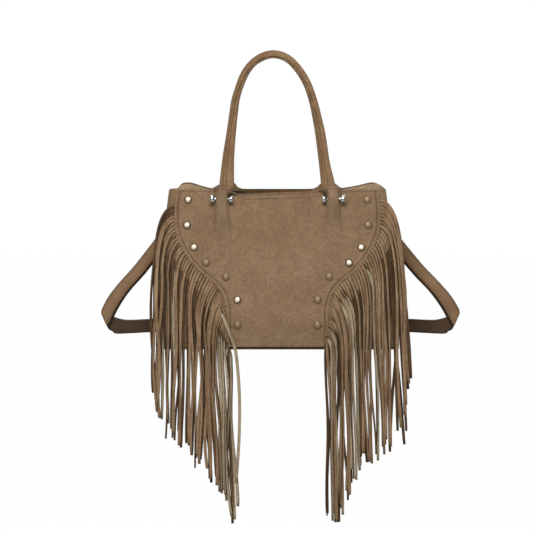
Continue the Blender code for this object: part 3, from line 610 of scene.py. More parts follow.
def turned(name, centre, axis, profile, looks, node, ring_looks=None, body="bag"):
    """A turned metal piece; ring_looks gives the look of each band of its profile."""
    rings = lathe(centre, axis, profile)
    points, faces, _ = tubes_of([rings])
    face_looks = []
    for i in range(len(rings) - 1):
        face_looks += [ring_looks[i] if ring_looks else 0] * TURNED_SIDES
    face_looks += [0, 0]
    piece = make(name, points, faces, looks, [node], face_looks, body)
    piece.data.set_sharp_from_angle(angle=SHARP_ANGLE)


# Along one stitch: share of its length, thickness, height over the leather.
THREAD_BOW = ((0, 0.35, -0.7), (0.14, 0.85, 0.1), (0.5, 1, 0.35), (0.86, 0.85, 0.1), (1, 0.35, -0.7))


def stitch_row(path, normals, kind):
    """Rings of thread stitches laid along a path, each dipping into the leather at its ends."""
    pitch, length, width, sink = kind
    path = np.asarray(path, float)
    normals = np.asarray(normals, float)
    if len(normals) != len(path):
        normals = np.repeat(normals.reshape(1, 3), len(path), axis=0)
    steps = np.linalg.norm(np.diff(path, axis=0), axis=1)
    run = np.concatenate([[0], np.cumsum(steps)])
    count = max(1, int(run[-1] / pitch))
    made = []
    for i in range(count):
        middle = (i + 0.5) * run[-1] / count
        at = np.array([middle - length / 2, middle, middle + length / 2])
        a, m, b = (np.array([np.interp(v, run, path[:, k]) for k in range(3)]) for v in at)
        up = unit([np.interp(middle, run, normals[:, k]) for k in range(3)])
        t = unit(b - a)
        side = unit(np.cross(t, up))
        rings = []
        for share, size, lift in THREAD_BOW:
            centre = a + (b - a) * share + up * (width * (0.3 + lift) - sink * width)
            spokes = [side * math.cos(turn) + up * math.sin(turn) * 0.8 for turn in turns_of(6)]
            rings.append([centre + spoke * width / 2 * size for spoke in spokes])
        made.append(rings)
    return made


def stitches(name, rows, look=DARK_THREAD, body="bag"):
    points, faces, _ = tubes_of([rings for row in rows for rings in row])
    make(name, points, faces, [look], body=body)


# Body.


def sleeve_out(x, drop, scale=1.0):
    """How far a sleeve lifts the leather at this place."""
    middle = smooth_along(SLEEVE_CENTRE, drop) * scale
    half = smooth_along(SLEEVE_HALF, drop) * scale
    offset = abs((abs(x) - middle) / half)
    if offset >= 1.08:
        return 0.0
    flat = 1 - (offset / 1.08) ** 4.2
    return max(0.0, smooth_along(SLEEVE_BULGE, drop)) * flat * (1 - 0.1 * hump(offset, 1.05, 0.14))


def overlay_point(x, drop):
    """A point on the overlay's face: sleeves, soft pleats, a sagging top edge, a ditch beside the welt."""
    wide = overlay_half(drop)
    out = OVERLAY_OUT + sleeve_out(x, drop, min(1, wide / 118))
    out += pleat(abs(x), drop) + 0.5 * wave(x, drop, 3)
    out -= 1.3 * hump(abs(x), wide, 1.6)
    return np.array((x, -(half_depth(drop) + out), height(drop) + front_rise(x, drop)))


def pleat(x, drop):
    """The soft ridge that runs down from each sleeve and the hollows beside it."""
    return hump(drop, 40, 44) * (2.4 * hump(x, 86, 11) - (2.2 * hump(x, 111, 12) + 1.5 * hump(x, 61, 13)))


def crowded_columns():
    """Shares of the half width, closer together over the sleeves and at the edge."""
    half = list(np.linspace(0.03, 0.44, 14)) + list(np.linspace(0.455, 0.72, 40))
    half += list(np.linspace(0.735, 0.97, 17)) + [0.978, 0.984, 0.989, 0.9945, 1]
    return [-u for u in half[::-1]] + [0.0] + half


def rise_of(table, x, drop, reach):
    """How far a top edge's rise lifts the leather at this place; it fades out down the panel."""
    fade = max(0.0, 1 - drop / reach) ** 1.5
    return fade * sum(along(table, x + step) for step in (-2.4, -0.8, 0.8, 2.4)) / 4


def front_rise(x, drop=0.0):
    return rise_of(FRONT_RISE, x, drop, FRONT_REACH)


def back_rise(x, drop=0.0):
    return rise_of(BACK_RISE, x, drop, BACK_REACH)


def ear_lean(x, drop):
    """How far the back panel's raised corners lean back."""
    return 2.5 * max(0.0, 1 - drop / 30) * hump(x, 148, 20)


def overlay():
    """The overlay's face as a grid of points, with its thickness behind it."""
    columns = crowded_columns()
    grid = []
    for r in range(OVERLAY_ROWS):
        drop = min(BODY_HEIGHT * (r / (OVERLAY_ROWS - 1)) ** 1.25, BODY_HEIGHT - 1)
        grid.append([overlay_point(u * overlay_half(drop), drop) for u in columns])
    sheet("overlay_suede", grid, (0, -1, 0), "front_overlay")


def body_panels():
    """Front and back panels, gussets and base, slightly slack as leather is."""
    drops = np.linspace(0, 1, 60) ** 1.3 * (BODY_HEIGHT - 0.5)
    flats = np.linspace(-1, 1, 70)
    front = []
    for drop in drops:
        wide = half_width(drop) - CORNER_RADIUS - PANEL_GAP
        line = []
        for x in flats * wide:
            sag = min(0.0, front_rise(x, drop)) - (0.4 if drop == 0 else 0)
            line.append((x, -(half_depth(drop) + 0.3 * wave(x, drop, 8) - 0.3), height(drop) + sag))
        front.append(line)
    sheet("front_panel_suede", front, (0, -1, 0), "front_panel")
    back_panel()
    for word, side in SIDES:
        gusset(word, side, drops)
    base()


def back_point(x, drop):
    """A point on the back panel's outer face."""
    out = sleeve_out(x, drop) + pleat(abs(x), drop) * 0.7 + 0.4 * wave(x, drop, 12) - 0.2
    return np.array((x, half_depth(drop) + out + ear_lean(abs(x), drop), height(drop) + back_rise(x, drop)))


def back_panel():
    """The back panel; beside its sleeves the top edge stands proud and leans back a little."""
    columns = crowded_columns()
    grid = []
    for drop in BODY_HEIGHT * np.linspace(0, 0.998, 90) ** 1.2:
        wide = half_width(drop) - CORNER_RADIUS - PANEL_GAP
        grid.append([back_point(u * wide, drop) for u in columns])
    piece = sheet("back_panel_suede", grid, (0, 1, 0), "back_panel")
    for polygon in piece.data.polygons:
        x, _, z = polygon.center / MM
        if polygon.material_index != 1:
            continue
        if z > height(0) + back_rise(x) - EDGE_PAINTED:
            polygon.material_index = 2
        elif abs(x) < SLEEVE_FACED:
            polygon.material_index = 0


def gusset(word, side, drops):
    """A side panel with rounded corners; its middle folds in a little towards the mouth."""
    quarter = [math.pi / 2 * t for t in np.linspace(0, 1, 15)]
    grid = []
    for drop in drops:
        wide = half_width(drop) - CORNER_RADIUS
        deep = half_depth(drop) - CORNER_RADIUS
        line = []
        for turn in quarter:
            turn -= math.pi / 2
            line.append((wide + CORNER_RADIUS * math.cos(turn), -deep + CORNER_RADIUS * math.sin(turn)))
        for t in np.linspace(0, 1, 22)[1:-1]:
            y = -deep + 2 * deep * t
            sink = gusset_fold(y, drop)[0] + 0.5 * wave(y * 3, drop, 21 + side)
            line.append((wide + CORNER_RADIUS - sink, y))
        for turn in quarter:
            line.append((wide + CORNER_RADIUS * math.cos(turn), deep + CORNER_RADIUS * math.sin(turn)))
        row = []
        for x, y in line:
            share = min(max((y + deep) / (2 * deep), 0), 1)
            share = share * share * (3 - 2 * share)
            rise = front_rise(side * x, drop) * (1 - share) + back_rise(side * x, drop) * share
            lift = rise - gusset_fold(y, drop)[1]
            row.append((side * x, y + ear_lean(x, drop) * share, height(drop) + lift))
        grid.append(row)
    sheet(f"gusset_suede_{word}", grid, (side, 0, 0), f"gusset_{word}")


def gusset_fold(y, drop):
    """How far a gusset's middle folds in, and how far its top edge dips."""
    sink = 4.0 * max(0.0, 1 - drop / 190) ** 1.2 * hump(y, 0, 12)
    dip = 3.0 * max(0.0, 1 - drop / 30) * hump(y, 0, 20)
    return sink, dip


def rounded_outline(wide, deep, radius, steps=10, between=0):
    """A rectangle with round corners, and as many points on each straight side as asked for."""
    arcs = []
    for sx, sy, start in ((1, 1, 0), (-1, 1, 1), (-1, -1, 2), (1, -1, 3)):
        turns = [math.pi / 2 * (start + i / steps) for i in range(steps + 1)]
        x, y = sx * (wide - radius), sy * (deep - radius)
        arcs.append([(x + radius * math.cos(turn), y + radius * math.sin(turn)) for turn in turns])
    line = []
    for corner, arc in enumerate(arcs):
        (x0, y0), (x1, y1) = arc[-1], arcs[(corner + 1) % 4][0]
        line += arc
        line += [(x0 + (x1 - x0) * t, y0 + (y1 - y0) * t) for t in np.linspace(0, 1, between + 2)[1:-1]]
    return line


def base():
    """The base: a flat bottom with a rolled edge that shows as a dark line from the front; the whole base
    takes the darker cut-edge look, which is partly painted shade.
    """
    wide, deep = half_width(BODY_HEIGHT), half_depth(BODY_HEIGHT)
    rings = []
    top = height(BODY_HEIGHT)
    levels = [
        (0, 3.0), (0.2, 0.6), (-0.6, 0.0), (-1.8, 0.0), (-2.8, 0.5), (-3.3, 1.6), (-3.4, 6.0), (-3.4, 30),
    ]
    for z, inset in levels:
        outline = rounded_outline(wide - inset, deep - inset, max(CORNER_RADIUS - inset, 2))
        rings.append([(x, y, top + z) for x, y in outline])
    tube("base_suede", rings, CUT_EDGE_AND_SHADE, ["base_panel"])


def mouth_tape_painted_shade():
    """A tape bound over the middle of the back panel's mouth edge, with two rows of stitches inside; its
    dark colour is painted shade of the facing lying in shadow.
    """
    inner, outer, top, low = 5.2, 0.9, 0.9, 10.5
    profile = [
        (-inner, -low), (-inner, -1), (-inner + 0.3, top - 0.5), (-inner + 1, top), (outer - 0.7, top),
        (outer, top - 0.6), (outer, -4.5), (outer - 0.8, -4.5), (outer - 0.8, top - 0.8),
        (-inner + 1, top - 0.9), (-inner + 0.9, -low),
    ]
    rings, lines = [], ([], [])
    for x in np.linspace(-MIDDLE_HALF, MIDDLE_HALF, 50):
        edge = half_depth(0) + 0.4 * wave(x, 0, 12) - 0.2
        lift = height(0) + back_rise(x) + 0.25 * wave(x, 0, 51)
        rings.append([(x, edge + y, lift + z) for y, z in profile])
        for line, z in zip(lines, (-1.0, -6.5)):
            line.append((x, edge - inner, lift + z))
    piece = tube("mouth_tape_painted_shade", rings, TAPE_PAINTED_SHADE)
    piece.data.set_sharp_from_angle(angle=SHARP_ANGLE)
    stitches("mouth_tape_stitches", [stitch_row(line, (0, -1, 0), TAPE_STITCH) for line in lines])


def lining():
    """The cloth inside: walls with loose folds, a hem at the mouth and a floor."""
    outer, inner = [], []
    for drop in np.concatenate([[2.0], np.linspace(6, BODY_HEIGHT - 3, 40)]):
        wide, deep = half_width(drop) - LINING_INSET, half_depth(drop) - LINING_INSET
        ring_out, ring_in = [], []
        for x, y in rounded_outline(wide, deep, CORNER_RADIUS - LINING_INSET, 8, 24):
            sink, dip = gusset_fold(y, drop) if abs(x) > wide - 1 else (-0.6, 0.0)
            x -= math.copysign(sink + 0.6, x)
            thick = 1 + 1.2 * (0.5 + 0.5 * wave(x + y, drop, 31)) * min(1, drop / 30)
            inward = unit((-x * 0.2, -y)) if abs(y) > deep - 6 else unit((-x, -y * 0.2))
            sag = min(0.0, front_rise(x, drop)) * min(1, abs(y) / deep) if y < 0 else 0.0
            z = height(drop) + sag - dip
            ring_out.append((x, y, z))
            ring_in.append((x + inward[0] * thick, y + inward[1] * thick, z))
        outer.append(ring_out)
        inner.append(ring_in)
    floor = [(x, y, z + 1.5) for x, y, z in inner[-1]]
    tube("lining_cloth_bag", [floor] + inner[:-1][::-1] + outer, LINING, ["lining"])


def edge_frame(drop, side):
    """A point on the overlay's edge and the outward direction, as (x, drop) pairs."""
    here = np.array((overlay_half(drop), drop))
    run = unit(np.array((overlay_half(drop + 0.5), drop + 0.5)) - here)
    out = np.array((run[1], -run[0]))
    return np.array((side * here[0], drop)), np.array((side * out[0], out[1]))


def piping():
    """A suede welt along each curved edge, flattened on the overlay's side."""
    for word, side in SIDES:
        rings = []
        for drop in list(np.linspace(-0.5, 247, 150)) + [249.5, 251]:
            point, out = edge_frame(max(drop, 0), side)
            radius = 2.3 if 2 < drop < 249 else 1.7
            x, at = point + out * 2.2
            out_here = OVERLAY_OUT - 0.4 + 0.15 * wave(x, drop, 40 + side)
            centre = on_front(x, drop if drop < 0 else at, out_here)
            flat, front = np.array((out[0], 0, -out[1])) * radius, np.array((0, -1.05, 0)) * radius
            rings.append([centre + flat * math.cos(turn) + front * math.sin(turn) for turn in turns_of(16)])
        tube(f"piping_suede_{word}", rings, FACE, [f"piping_{word}"])


# Fringe.


def seam_place(share, start, side):
    """The place at this share of the seam's length."""
    drops = np.linspace(start, FRINGE_END, 300)
    x = np.array([overlay_half(d) for d in drops])
    run = np.concatenate([[0], np.cumsum(np.hypot(np.diff(x), np.diff(drops)))])
    drop = float(np.interp(share * run[-1], run, drops))
    return edge_frame(drop, side)


def clump_pulls(draw):
    """Strips gather in small clumps; each number is how far a strip's tip is pulled outwards."""
    pulls = []
    while len(pulls) < STRIPS:
        size = draw.choice((1, 2, 2, 3, 3, 4))
        swing = draw.gauss(0, 1.1)
        pulls += [swing + 0.7 * (k - (size - 1) / 2) for k in range(size)]
    return pulls[:STRIPS]


def strip_path(share, word, side, pull, draw):
    """Points of one strip as (x, drop): square off the seam, over and down, then swaying to its tip."""
    point, out = seam_place(share, FRINGE_START[word], side)
    table = FRINGE_FALL[word]
    loose = draw.gauss(0, 8) if draw.random() < 0.12 and share > 0.1 else draw.gauss(0, 1.2)
    hang_x = side * (along(table, share, 1) + 0.3 * pull)
    tip_x = side * (along(table, share, 2) + pull + loose)
    tip_drop = along(table, share, 3) + draw.gauss(0, 9)
    away = abs(hang_x - point[0])
    reach = max(4.0, 0.62 * away)
    hang_drop = point[1] + 18 + (1.5 if word == "left" else 2.0) * away + max(0, out[1]) * reach
    start = point - out * 4
    first = point + out * reach
    first[1] -= 1.5 + 0.04 * away
    knee = np.array((hang_x - side * 0.12 * away, hang_drop - 0.65 * (hang_drop - first[1])))
    hang = np.array((hang_x, hang_drop))
    curve = []
    for t in np.linspace(0, 1, 14):
        s = 1 - t
        curve.append(s**3 * start + 3 * s * s * t * first + 3 * s * t * t * knee + t**3 * hang)
    sway, quick = draw.gauss(0, 2.1), draw.gauss(0, 1.3)
    phase = draw.uniform(0, math.tau)
    end = max(tip_drop, hang_drop + 40)
    bow = side * 5 * math.exp(-share / 0.05) if word == "left" else 0.0
    for t in np.linspace(0, 1, 23)[1:]:
        bend = sway * math.sin(math.pi * 1.4 * t + phase) * min(1, 2.5 * t)
        bend += quick * (math.sin(7.5 * t + phase) - math.sin(phase)) + bow * math.sin(math.pi * t)
        curve.append(np.array((hang_x + (tip_x - hang_x) * t + bend, hang_drop + (end - hang_drop) * t)))
    return np.array(curve)


def strip_line(depth, share, word, side, pull, draw):
    """Points of a strip in space; neighbours lie at different depths."""
    curve = strip_path(share, word, side, pull, draw)
    layer = 1.8 + 2.6 * depth + draw.uniform(-0.4, 0.4)
    sway = draw.gauss(0, 1.6)
    points = []
    for i, (x, drop) in enumerate(curve):
        settle = min(1, i / 8)
        out = 1.4 + (layer - 1.0) * settle
        if i < 10:
            out += 1.6 * math.sin(math.pi * i / 10)
        out += sway * math.sin(2.3 * i / (len(curve) - 1)) - 0.012 * max(0, drop - BODY_HEIGHT)
        points.append(on_front(x, drop, out + 0.4))
    return np.array(points)


def strip_rings(points, arch, flip, loose, draw):
    """Sections along a strip: turned like a louvre off the seam, then twisting at random, and cupped."""
    count = len(points)
    tangents = np.gradient(points, axis=0)
    turn_at = [(0, 0), (2, 0.35 * arch), (7, arch)]
    angle = arch
    for at in (14, 19, 24, 29, count - 1):
        angle = max(min(angle + math.radians(draw.gauss(0, 24)), loose), -loose)
        turn_at.append((at, angle))
    half = STRIP_WIDTH / 2 * draw.uniform(0.86, 1.08)
    thick = STRIP_THICK / 2
    cup = draw.uniform(0.8, 2.2)
    rings = []
    for i, (centre, tangent) in enumerate(zip(points, tangents)):
        tangent = unit(tangent)
        face = unit(np.array((0, -1, 0)) + tangent * tangent[1])
        wide = np.cross(tangent, face)
        turn = along(turn_at, i) + flip * min(1, max(0, i - 2) / 9)
        across = wide * math.cos(turn) + face * math.sin(turn)
        normal = face * math.cos(turn) - wide * math.sin(turn)
        taper = 1 if i < count - 1 else 0.86
        bow = cup + 1.4 * hump(i, 5, 5)
        section = [(a, 1 - bow * a * a) for a in STRIP_COLUMNS]
        section += [(a, -1 - bow * a * a) for a in STRIP_COLUMNS[::-1]]
        rings.append([centre + across * half * a * taper + normal * thick * b for a, b in section])
    return rings


def fringe():
    """One comb of suede a side, cut into strips; the innermost ones show their pale flesh side. Rear-layer
    strips below the arch and the first edge-on strips on the left take a darker copy of the face, painted
    shade.
    """
    looks = [STRIP_FACE, STRIP_FLESH, STRIP_EDGE_AND_SHADE, STRIP_PAINTED_SHADE]
    for word, side in SIDES:
        draw = random.Random(SEED + side)
        pulls = clump_pulls(draw)
        points, faces, face_looks = [], [], []

        def add(rings, dark, edge_on):
            # Faces 4 and 9 are the cut edges, in the edge look that is partly painted shade.
            more, quads, these = tubes_of([rings], lambda j: 0 if j < 4 else 2 if j in (4, 9) else 1)
            for k in range(len(these)):
                below_arch = k > ARCH_RINGS * len(rings[0])
                # Rear-layer strips below the arch and the edge-on strips take the darker copy: painted
                # shade.
                if these[k] == 0 and (edge_on or (dark and below_arch)):
                    these[k] = 3
            faces.extend(tuple(len(points) + q for q in quad) for quad in quads)
            points.extend(more)
            face_looks.extend(these)

        for i in range(STRIPS):
            share = i / (STRIPS - 1)
            depth = draw.choice((0, 1, 2, 3))
            line = strip_line(depth, share, word, side, pulls[i], draw)
            edge_on = word == "left" and i < 3
            arch = side * math.radians(EDGE_ON_TURN if edge_on else draw.uniform(*TURN_RANGE))
            pale = draw.random() < (PALE_INNER[word] if share > 0.8 else PALE_OTHERS)
            # The two rear layers are the ones painted in shade.
            dark = depth < 2 and not pale
            loose = 1.5 if draw.random() < 0.2 else 0.95
            add(strip_rings(line, arch, math.pi if pale else 0.0, loose, draw), dark, edge_on)
        if word == "left":
            stray = smooth_rows(STRAY_STRIP, 4)
            line = np.array([on_front(x, drop, out) for x, drop, out in stray])
            add(strip_rings(line, side * 0.12, math.pi, 0.3, draw), False, False)
        make(f"fringe_strips_{word}", points, faces, looks, [f"fringe_{word}"], face_looks)


# Handles and their metal.


def handle(word, side_y, out):
    """A rolled handle: a round cord with a stitched flap beside it and a groove between the two, darkened
    with painted shade.
    """
    foot_y = half_depth(PIN_DROP) + out + PIN_OUT
    top = max(row[1] for row in HANDLE_LINE)
    lean = (foot_y - HANDLE_TOP_Y) / (top + PIN_DROP)
    rows = smooth_rows(HANDLE_LINE, 8)
    steps = np.gradient(rows[:, :2], axis=0)
    run = np.concatenate([[0], np.cumsum(np.hypot(*np.diff(rows[:, :2], axis=0).T))])
    rings, seam, face_looks = [], [], []
    front = np.array((0, -1, 0)) * (1 if side_y < 0 else -1)
    for i, ((x, up, wide, deep), step) in enumerate(zip(rows, steps)):
        step = unit(step)
        centre = np.array((x, side_y * (foot_y - lean * max(0, up + PIN_DROP)), up - HANG_TO_MOUTH))
        centre[2] += HANDLE_STRETCH * min(max(up / top, 0), 1)
        across = np.array((step[1], 0, -step[0]))
        share = run[i] / run[-1]
        groove = math.radians(along(HANDLE_GROOVE, share))
        flap = along(HANDLE_FLAP, share)
        ring = []
        for turn in turns_of(HANDLE_SIDES):
            gap = math.atan2(math.sin(turn - groove), math.cos(turn - groove))
            size = 1 - 0.3 * hump(gap, 0, 0.12) + 0.05 * hump(abs(gap), 0.5, 0.25)
            size -= 0.12 * hump(gap * flap, 0.8, 0.5)
            ring.append(centre + (across * wide * math.cos(turn) + front * deep * math.sin(turn)) * size)
            # Faces along the groove take the dark tape look: painted shade in the crease.
            face_looks.append(1 if abs(gap + math.pi / HANDLE_SIDES) < 0.1 else 0)
        rings.append(ring)
        if STITCHES_FROM[word] < up < top - 14:
            at = groove + 0.42 * flap
            normal = unit(across * math.cos(at) / wide + front * math.sin(at) / deep)
            place = centre + (across * wide * math.cos(at) + front * deep * math.sin(at)) * 0.97
            seam.append((i, place, normal))
    points, faces, _ = tubes_of([rings])
    face_looks = face_looks[:-HANDLE_SIDES] + [0, 0]
    body = f"handle_{word}"
    make(f"handle_suede_{word}", points, faces, [HANDLE_FACE, TAPE_PAINTED_SHADE], [body], face_looks, body)
    halves = [[s for s in seam if s[0] < len(rows) / 2], [s for s in seam if s[0] >= len(rows) / 2]]
    sewn = [stitch_row([s[1] for s in half], [s[2] for s in half], HANDLE_STITCH) for half in halves]
    stitches(f"handle_stitches_{word}", sewn, body=body)


def pins(word, side_y, out):
    """Polished pins with smooth round heads, and the nuts on their inner ends."""
    end = PIN_HEAD_FROM + PIN_HEAD_LENGTH
    r = PIN_HEAD_RADIUS
    head = [
        (PIN_HEAD_FROM - 0.2, r - 1.2), (PIN_HEAD_FROM, r - 0.5), (PIN_HEAD_FROM + 0.5, r), (end - 0.9, r),
        (end - 0.4, r - 0.3), (end, r - 1.0), (end + 0.15, r - 2.4), (end + 0.2, 0.1),
    ]
    for place, side in SIDES:
        x = side * along(SLEEVE_CENTRE, PIN_DROP)
        centre = (x, side_y * (half_depth(PIN_DROP) + out + PIN_OUT), height(PIN_DROP))
        rod = [(-end + 2, 0.1), (-end + 2, PIN_RADIUS - 0.2), (-end + 2.3, PIN_RADIUS)]
        rod.append((PIN_HEAD_FROM - 0.2, PIN_RADIUS))
        nut = [(PIN_HEAD_FROM - 0.2, PIN_RADIUS + 0.3)]
        for kind, way, start in (("pin", side, rod), ("nut", -side, nut)):
            name = f"{kind}_chrome_{word}_{place}"
            turned(name, centre, (way, 0, 0), start + head, [CHROME], f"{kind}_{word}_{place}")


def studs():
    """Flat rivet studs: a bevelled cap with a groove round its flat, slightly domed middle; on the shiny
    studs bevel and groove take a darker copy of the nickel, and the others are a darker copy all over, both
    painted shade.
    """
    lean = math.atan(PANEL_SLOPE)
    axis = (0, -math.cos(lean), math.sin(lean))
    rim = STUD_RADIUS
    profile = [
        (-1.5, 1.4), (-0.6, 1.5), (-0.5, rim - 0.8), (-0.1, rim - 0.1), (0.45, rim), (0.95, rim - 0.2),
        (1.5, rim - 0.8), (1.6, rim - 1.2), (1.35, rim - 1.5), (1.35, rim - 1.75), (1.7, rim - 2.1),
        (1.85, rim - 3), (1.95, 2.0), (2.0, 0.1),
    ]
    # Bands of the profile from the outer bevel to the groove take the second look, a darker copy on the
    # shiny studs: painted shade.
    rim_shade_bands = [0, 0, 1, 1, 1, 1, 1, 1, 1, 1, 0, 0, 0]
    draw = random.Random(SEED + 5)
    for i, (drop, x) in enumerate(STUD_PLACES):
        for word, side in SIDES:
            centre = on_front(side * x, drop, OVERLAY_OUT + 0.35 + 0.5 * wave(side * x, drop, 3))
            shiny = (i + 1) in STUDS_SHINY[word]
            tip = (draw.uniform(-0.09, -0.03), 0, draw.uniform(*((0.04, 0.08) if shiny else (-0.03, 0.01))))
            # Studs that do not shine take the darker copy of the nickel all over: painted shade.
            looks = [NICKEL, NICKEL_RIM_SHADE] if shiny else [NICKEL_PAINTED_SHADE, NICKEL_PAINTED_SHADE]
            name = f"stud_nickel_{word}_{i + 1}"
            turned(name, centre, np.array(axis) + tip, profile, looks, f"stud_{word}_{i + 1}", rim_shade_bands)


# Shoulder strap.


def strap_direction():
    """The way the strap leaves its ring, as (x, drop)."""
    return unit(np.array(STRAP_RUN[1], float) - np.array(STRAP_RUN[0], float))


def ring_y(drop=RING_DROP):
    """How far back the rings' middle plane lies."""
    return half_depth(drop) + RING_OUT


def strap_stations():
    """Centre, edge direction and outward normal along the strap, from ring to ring."""
    down = strap_direction()
    across = np.array((-down[1], down[0]))
    low = np.array((RING_X, RING_DROP)) + down * RING_REACH
    fold_edge = np.array((-math.sin(FOLD_LEAN), math.cos(FOLD_LEAN)))
    fold_out = np.array((math.cos(FOLD_LEAN), math.sin(FOLD_LEAN)))
    near = half_depth(STRAP_FOLD[1]) + RING_OUT - LOOP_RADIUS
    halves = []
    for side in (-1, 1):
        stations = []

        def put(flat, y_here, edge, normal, run=None, pull=0.0):
            slant = abs(np.dot(edge, run)) if run is not None else 0.0
            widen = min(1 / math.sqrt(1 - slant**2), MOST_WIDENED) * (1 - pull)
            centre = (side * flat[0], y_here, height(flat[1]))
            edge = (side * edge[0], PANEL_SLOPE * edge[1], -edge[1])
            stations.append((*centre, *edge, side * normal[0], normal[1], -normal[2], widen))

        tail = low + down * STRAP_TAIL
        put(tail, ring_y(tail[1]) + LOOP_RADIUS, across, (0, 1, 0))
        for i in range(9):
            turn = math.pi * i / 8
            flat = low - down * LOOP_RADIUS * math.sin(turn)
            normal = (-down[0] * math.sin(turn), math.cos(turn), -down[1] * math.sin(turn))
            put(flat, ring_y(flat[1]) + LOOP_RADIUS * math.cos(turn), across, normal)
        for i, flat in enumerate(STRAP_RUN):
            edge = across if i < 3 else unit(across * (1 - 0.25 * (i - 2)) + fold_edge * 0.25 * (i - 2))
            run = unit(np.subtract((STRAP_RUN + [STRAP_FOLD])[i + 1], flat))
            place = (flat[0] + side * STRAP_SHIFT * (i + 1) / 6, flat[1])
            put(place, half_depth(flat[1]) + RING_OUT - LOOP_RADIUS, edge, (0, -1, 0), run)
        centre = np.array(STRAP_FOLD) + (side * STRAP_SHIFT, 0)
        run = unit(np.subtract(STRAP_FOLD, STRAP_RUN[-1]))
        slant = np.dot(fold_edge, run)
        drift = slant / math.sqrt(1 - slant**2)
        for i in range(7):
            turn = math.pi * i / 6
            flat = centre + fold_out * FOLD_RADIUS * math.sin(turn)
            flat = flat + fold_edge * FOLD_RADIUS * drift * (turn - math.pi / 2)
            normal = (fold_out[0] * math.sin(turn), -math.cos(turn), fold_out[1] * math.sin(turn))
            y_here = near + FOLD_RADIUS * (1 - math.cos(turn))
            put(flat, y_here, fold_edge, normal, run, 0.05 * math.sin(turn))
        for i, flat in enumerate(STRAP_LOWER):
            share = min(1, (i + 1) / 3)
            edge = unit(fold_edge * (1 - share) + np.array((0, 1)) * share)
            y_here = half_depth(flat[1]) + RING_OUT - LOOP_RADIUS + 2 * FOLD_RADIUS
            run = unit(np.subtract(flat, ([STRAP_FOLD] + STRAP_LOWER)[i]))
            put((flat[0] + side * STRAP_SHIFT, flat[1]), y_here, edge, (0, 1, 0), run)
        halves.append(stations)
    return halves[0] + halves[1][::-1]


def strap():
    """One strap with painted edges and a row of stitches along each; the dark band carried onto the face
    along the inner edge is painted shade.
    """
    rows = smooth_rows(strap_stations(), 5)
    half, thick = STRAP_WIDTH / 2, STRAP_THICK / 2
    section = [
        (-half + 0.9, -1), (-half + 3, -1), (0, -1.08), (half - 3, -1), (half - 0.9, -1),
        (half - 0.15, -0.55), (half, 0), (half - 0.15, 0.5), (half - 0.9, 0.85), (half - 4.2, 0.95),
        (half - 5.2, 1.2), (0, 1.4), (-half + 3.6, 1.16), (-half + 2.6, 1), (-half + 0.9, 1),
        (-half + 0.15, 0.55), (-half, 0), (-half + 0.15, -0.55),
    ]
    # Faces 4 to 8 and 14 to 17 take the edge paint; face 8 carries it onto the face along the inner edge as
    # painted shade.
    looks_at = [1, 1, 1, 1, 2, 2, 2, 2, 2, 0, 0, 0, 0, 0, 2, 2, 2, 2]
    sewn_at = {(-1, 1): half - 2.4, (1, 1): half - 6.2, (-1, -1): half - 2.4, (1, -1): half - 2.4}
    rings, normals = [], []
    lines = {key: [] for key in sewn_at}
    for row in rows:
        centre, edge, normal, widen = row[:3], unit(row[3:6]), row[6:9], row[9]
        normal = unit(normal - edge * np.dot(normal, edge))
        rings.append([centre + edge * a * widen + normal * thick * b for a, b in section])
        normals.append(normal)
        for (e, n), line in lines.items():
            line.append(centre + edge * e * sewn_at[(e, n)] * widen + normal * n * thick)
    points, faces, face_looks = tubes_of([rings], lambda j: looks_at[j])
    looks = [STRAP_FACE, STRAP_BACK, STRAP_EDGE_PAINT_AND_SHADE]
    body, slot = "shoulder_strap", "strap_leather"
    make("strap_leather_band", points, faces, looks, ["shoulder_strap"], face_looks, body)
    sewn = [stitch_row(line, np.array(normals) * n, STRAP_STITCH) for (_, n), line in lines.items()]
    stitches("strap_stitches", sewn, body=body)


def strap_hardware():
    """Wire rings, the rivets that close the strap's ends round them, and the chapes that hold them."""
    down = strap_direction()
    across = np.array((-down[1], down[0]))
    low = np.array((RING_X, RING_DROP)) + down * RING_REACH
    half = RING_BAR / 2
    corners = [(RING_X - half, RING_DROP), (RING_X + half, RING_DROP)]
    corners += [low - across * half, low + across * half]
    path = rounded_loop(corners, RING_CORNER)
    flat = np.array((RING_X, RING_DROP)) + down * (RING_REACH + RIVET_BACK)
    for word, side in SIDES:
        points = np.array([(side * x, ring_y(drop), height(drop)) for x, drop in path])
        steps = np.roll(points, -1, axis=0) - np.roll(points, 1, axis=0)
        rings = []
        for point, step in zip(points, steps):
            first = unit(np.cross(step, (0, 1, 0)))
            second = unit(np.cross(step, first))
            spokes = [first * math.cos(turn) + second * math.sin(turn) for turn in turns_of(16)]
            rings.append([point + RING_WIRE * spoke for spoke in spokes])
        rings.append(rings[0])
        verts, faces, _ = tubes_of([rings])
        name, node = f"ring_nickel_{word}", f"strap_ring_{word}"
        make(name, verts, faces[:-2], [NICKEL], [node], body="shoulder_strap")
        reach = LOOP_RADIUS + STRAP_THICK / 2 + 0.6
        cap = [
            (-reach - 1, 0.1), (-reach - 1, 1.9), (-reach - 0.7, 2.5), (-reach, 2.5), (-reach, 1.5),
            (reach, 1.5), (reach, 4.3), (reach + 0.3, 4.5), (reach + 0.8, 4.4), (reach + 1.2, 3.6),
            (reach + 1.5, 2.2), (reach + 1.55, 0.1),
        ]
        centre = (side * flat[0], ring_y(flat[1]), height(flat[1]))
        name, node = f"rivet_nickel_{word}", f"strap_rivet_{word}"
        turned(name, centre, (0, 1, 0), cap, [NICKEL], node, body="shoulder_strap")
        chape(word, side)


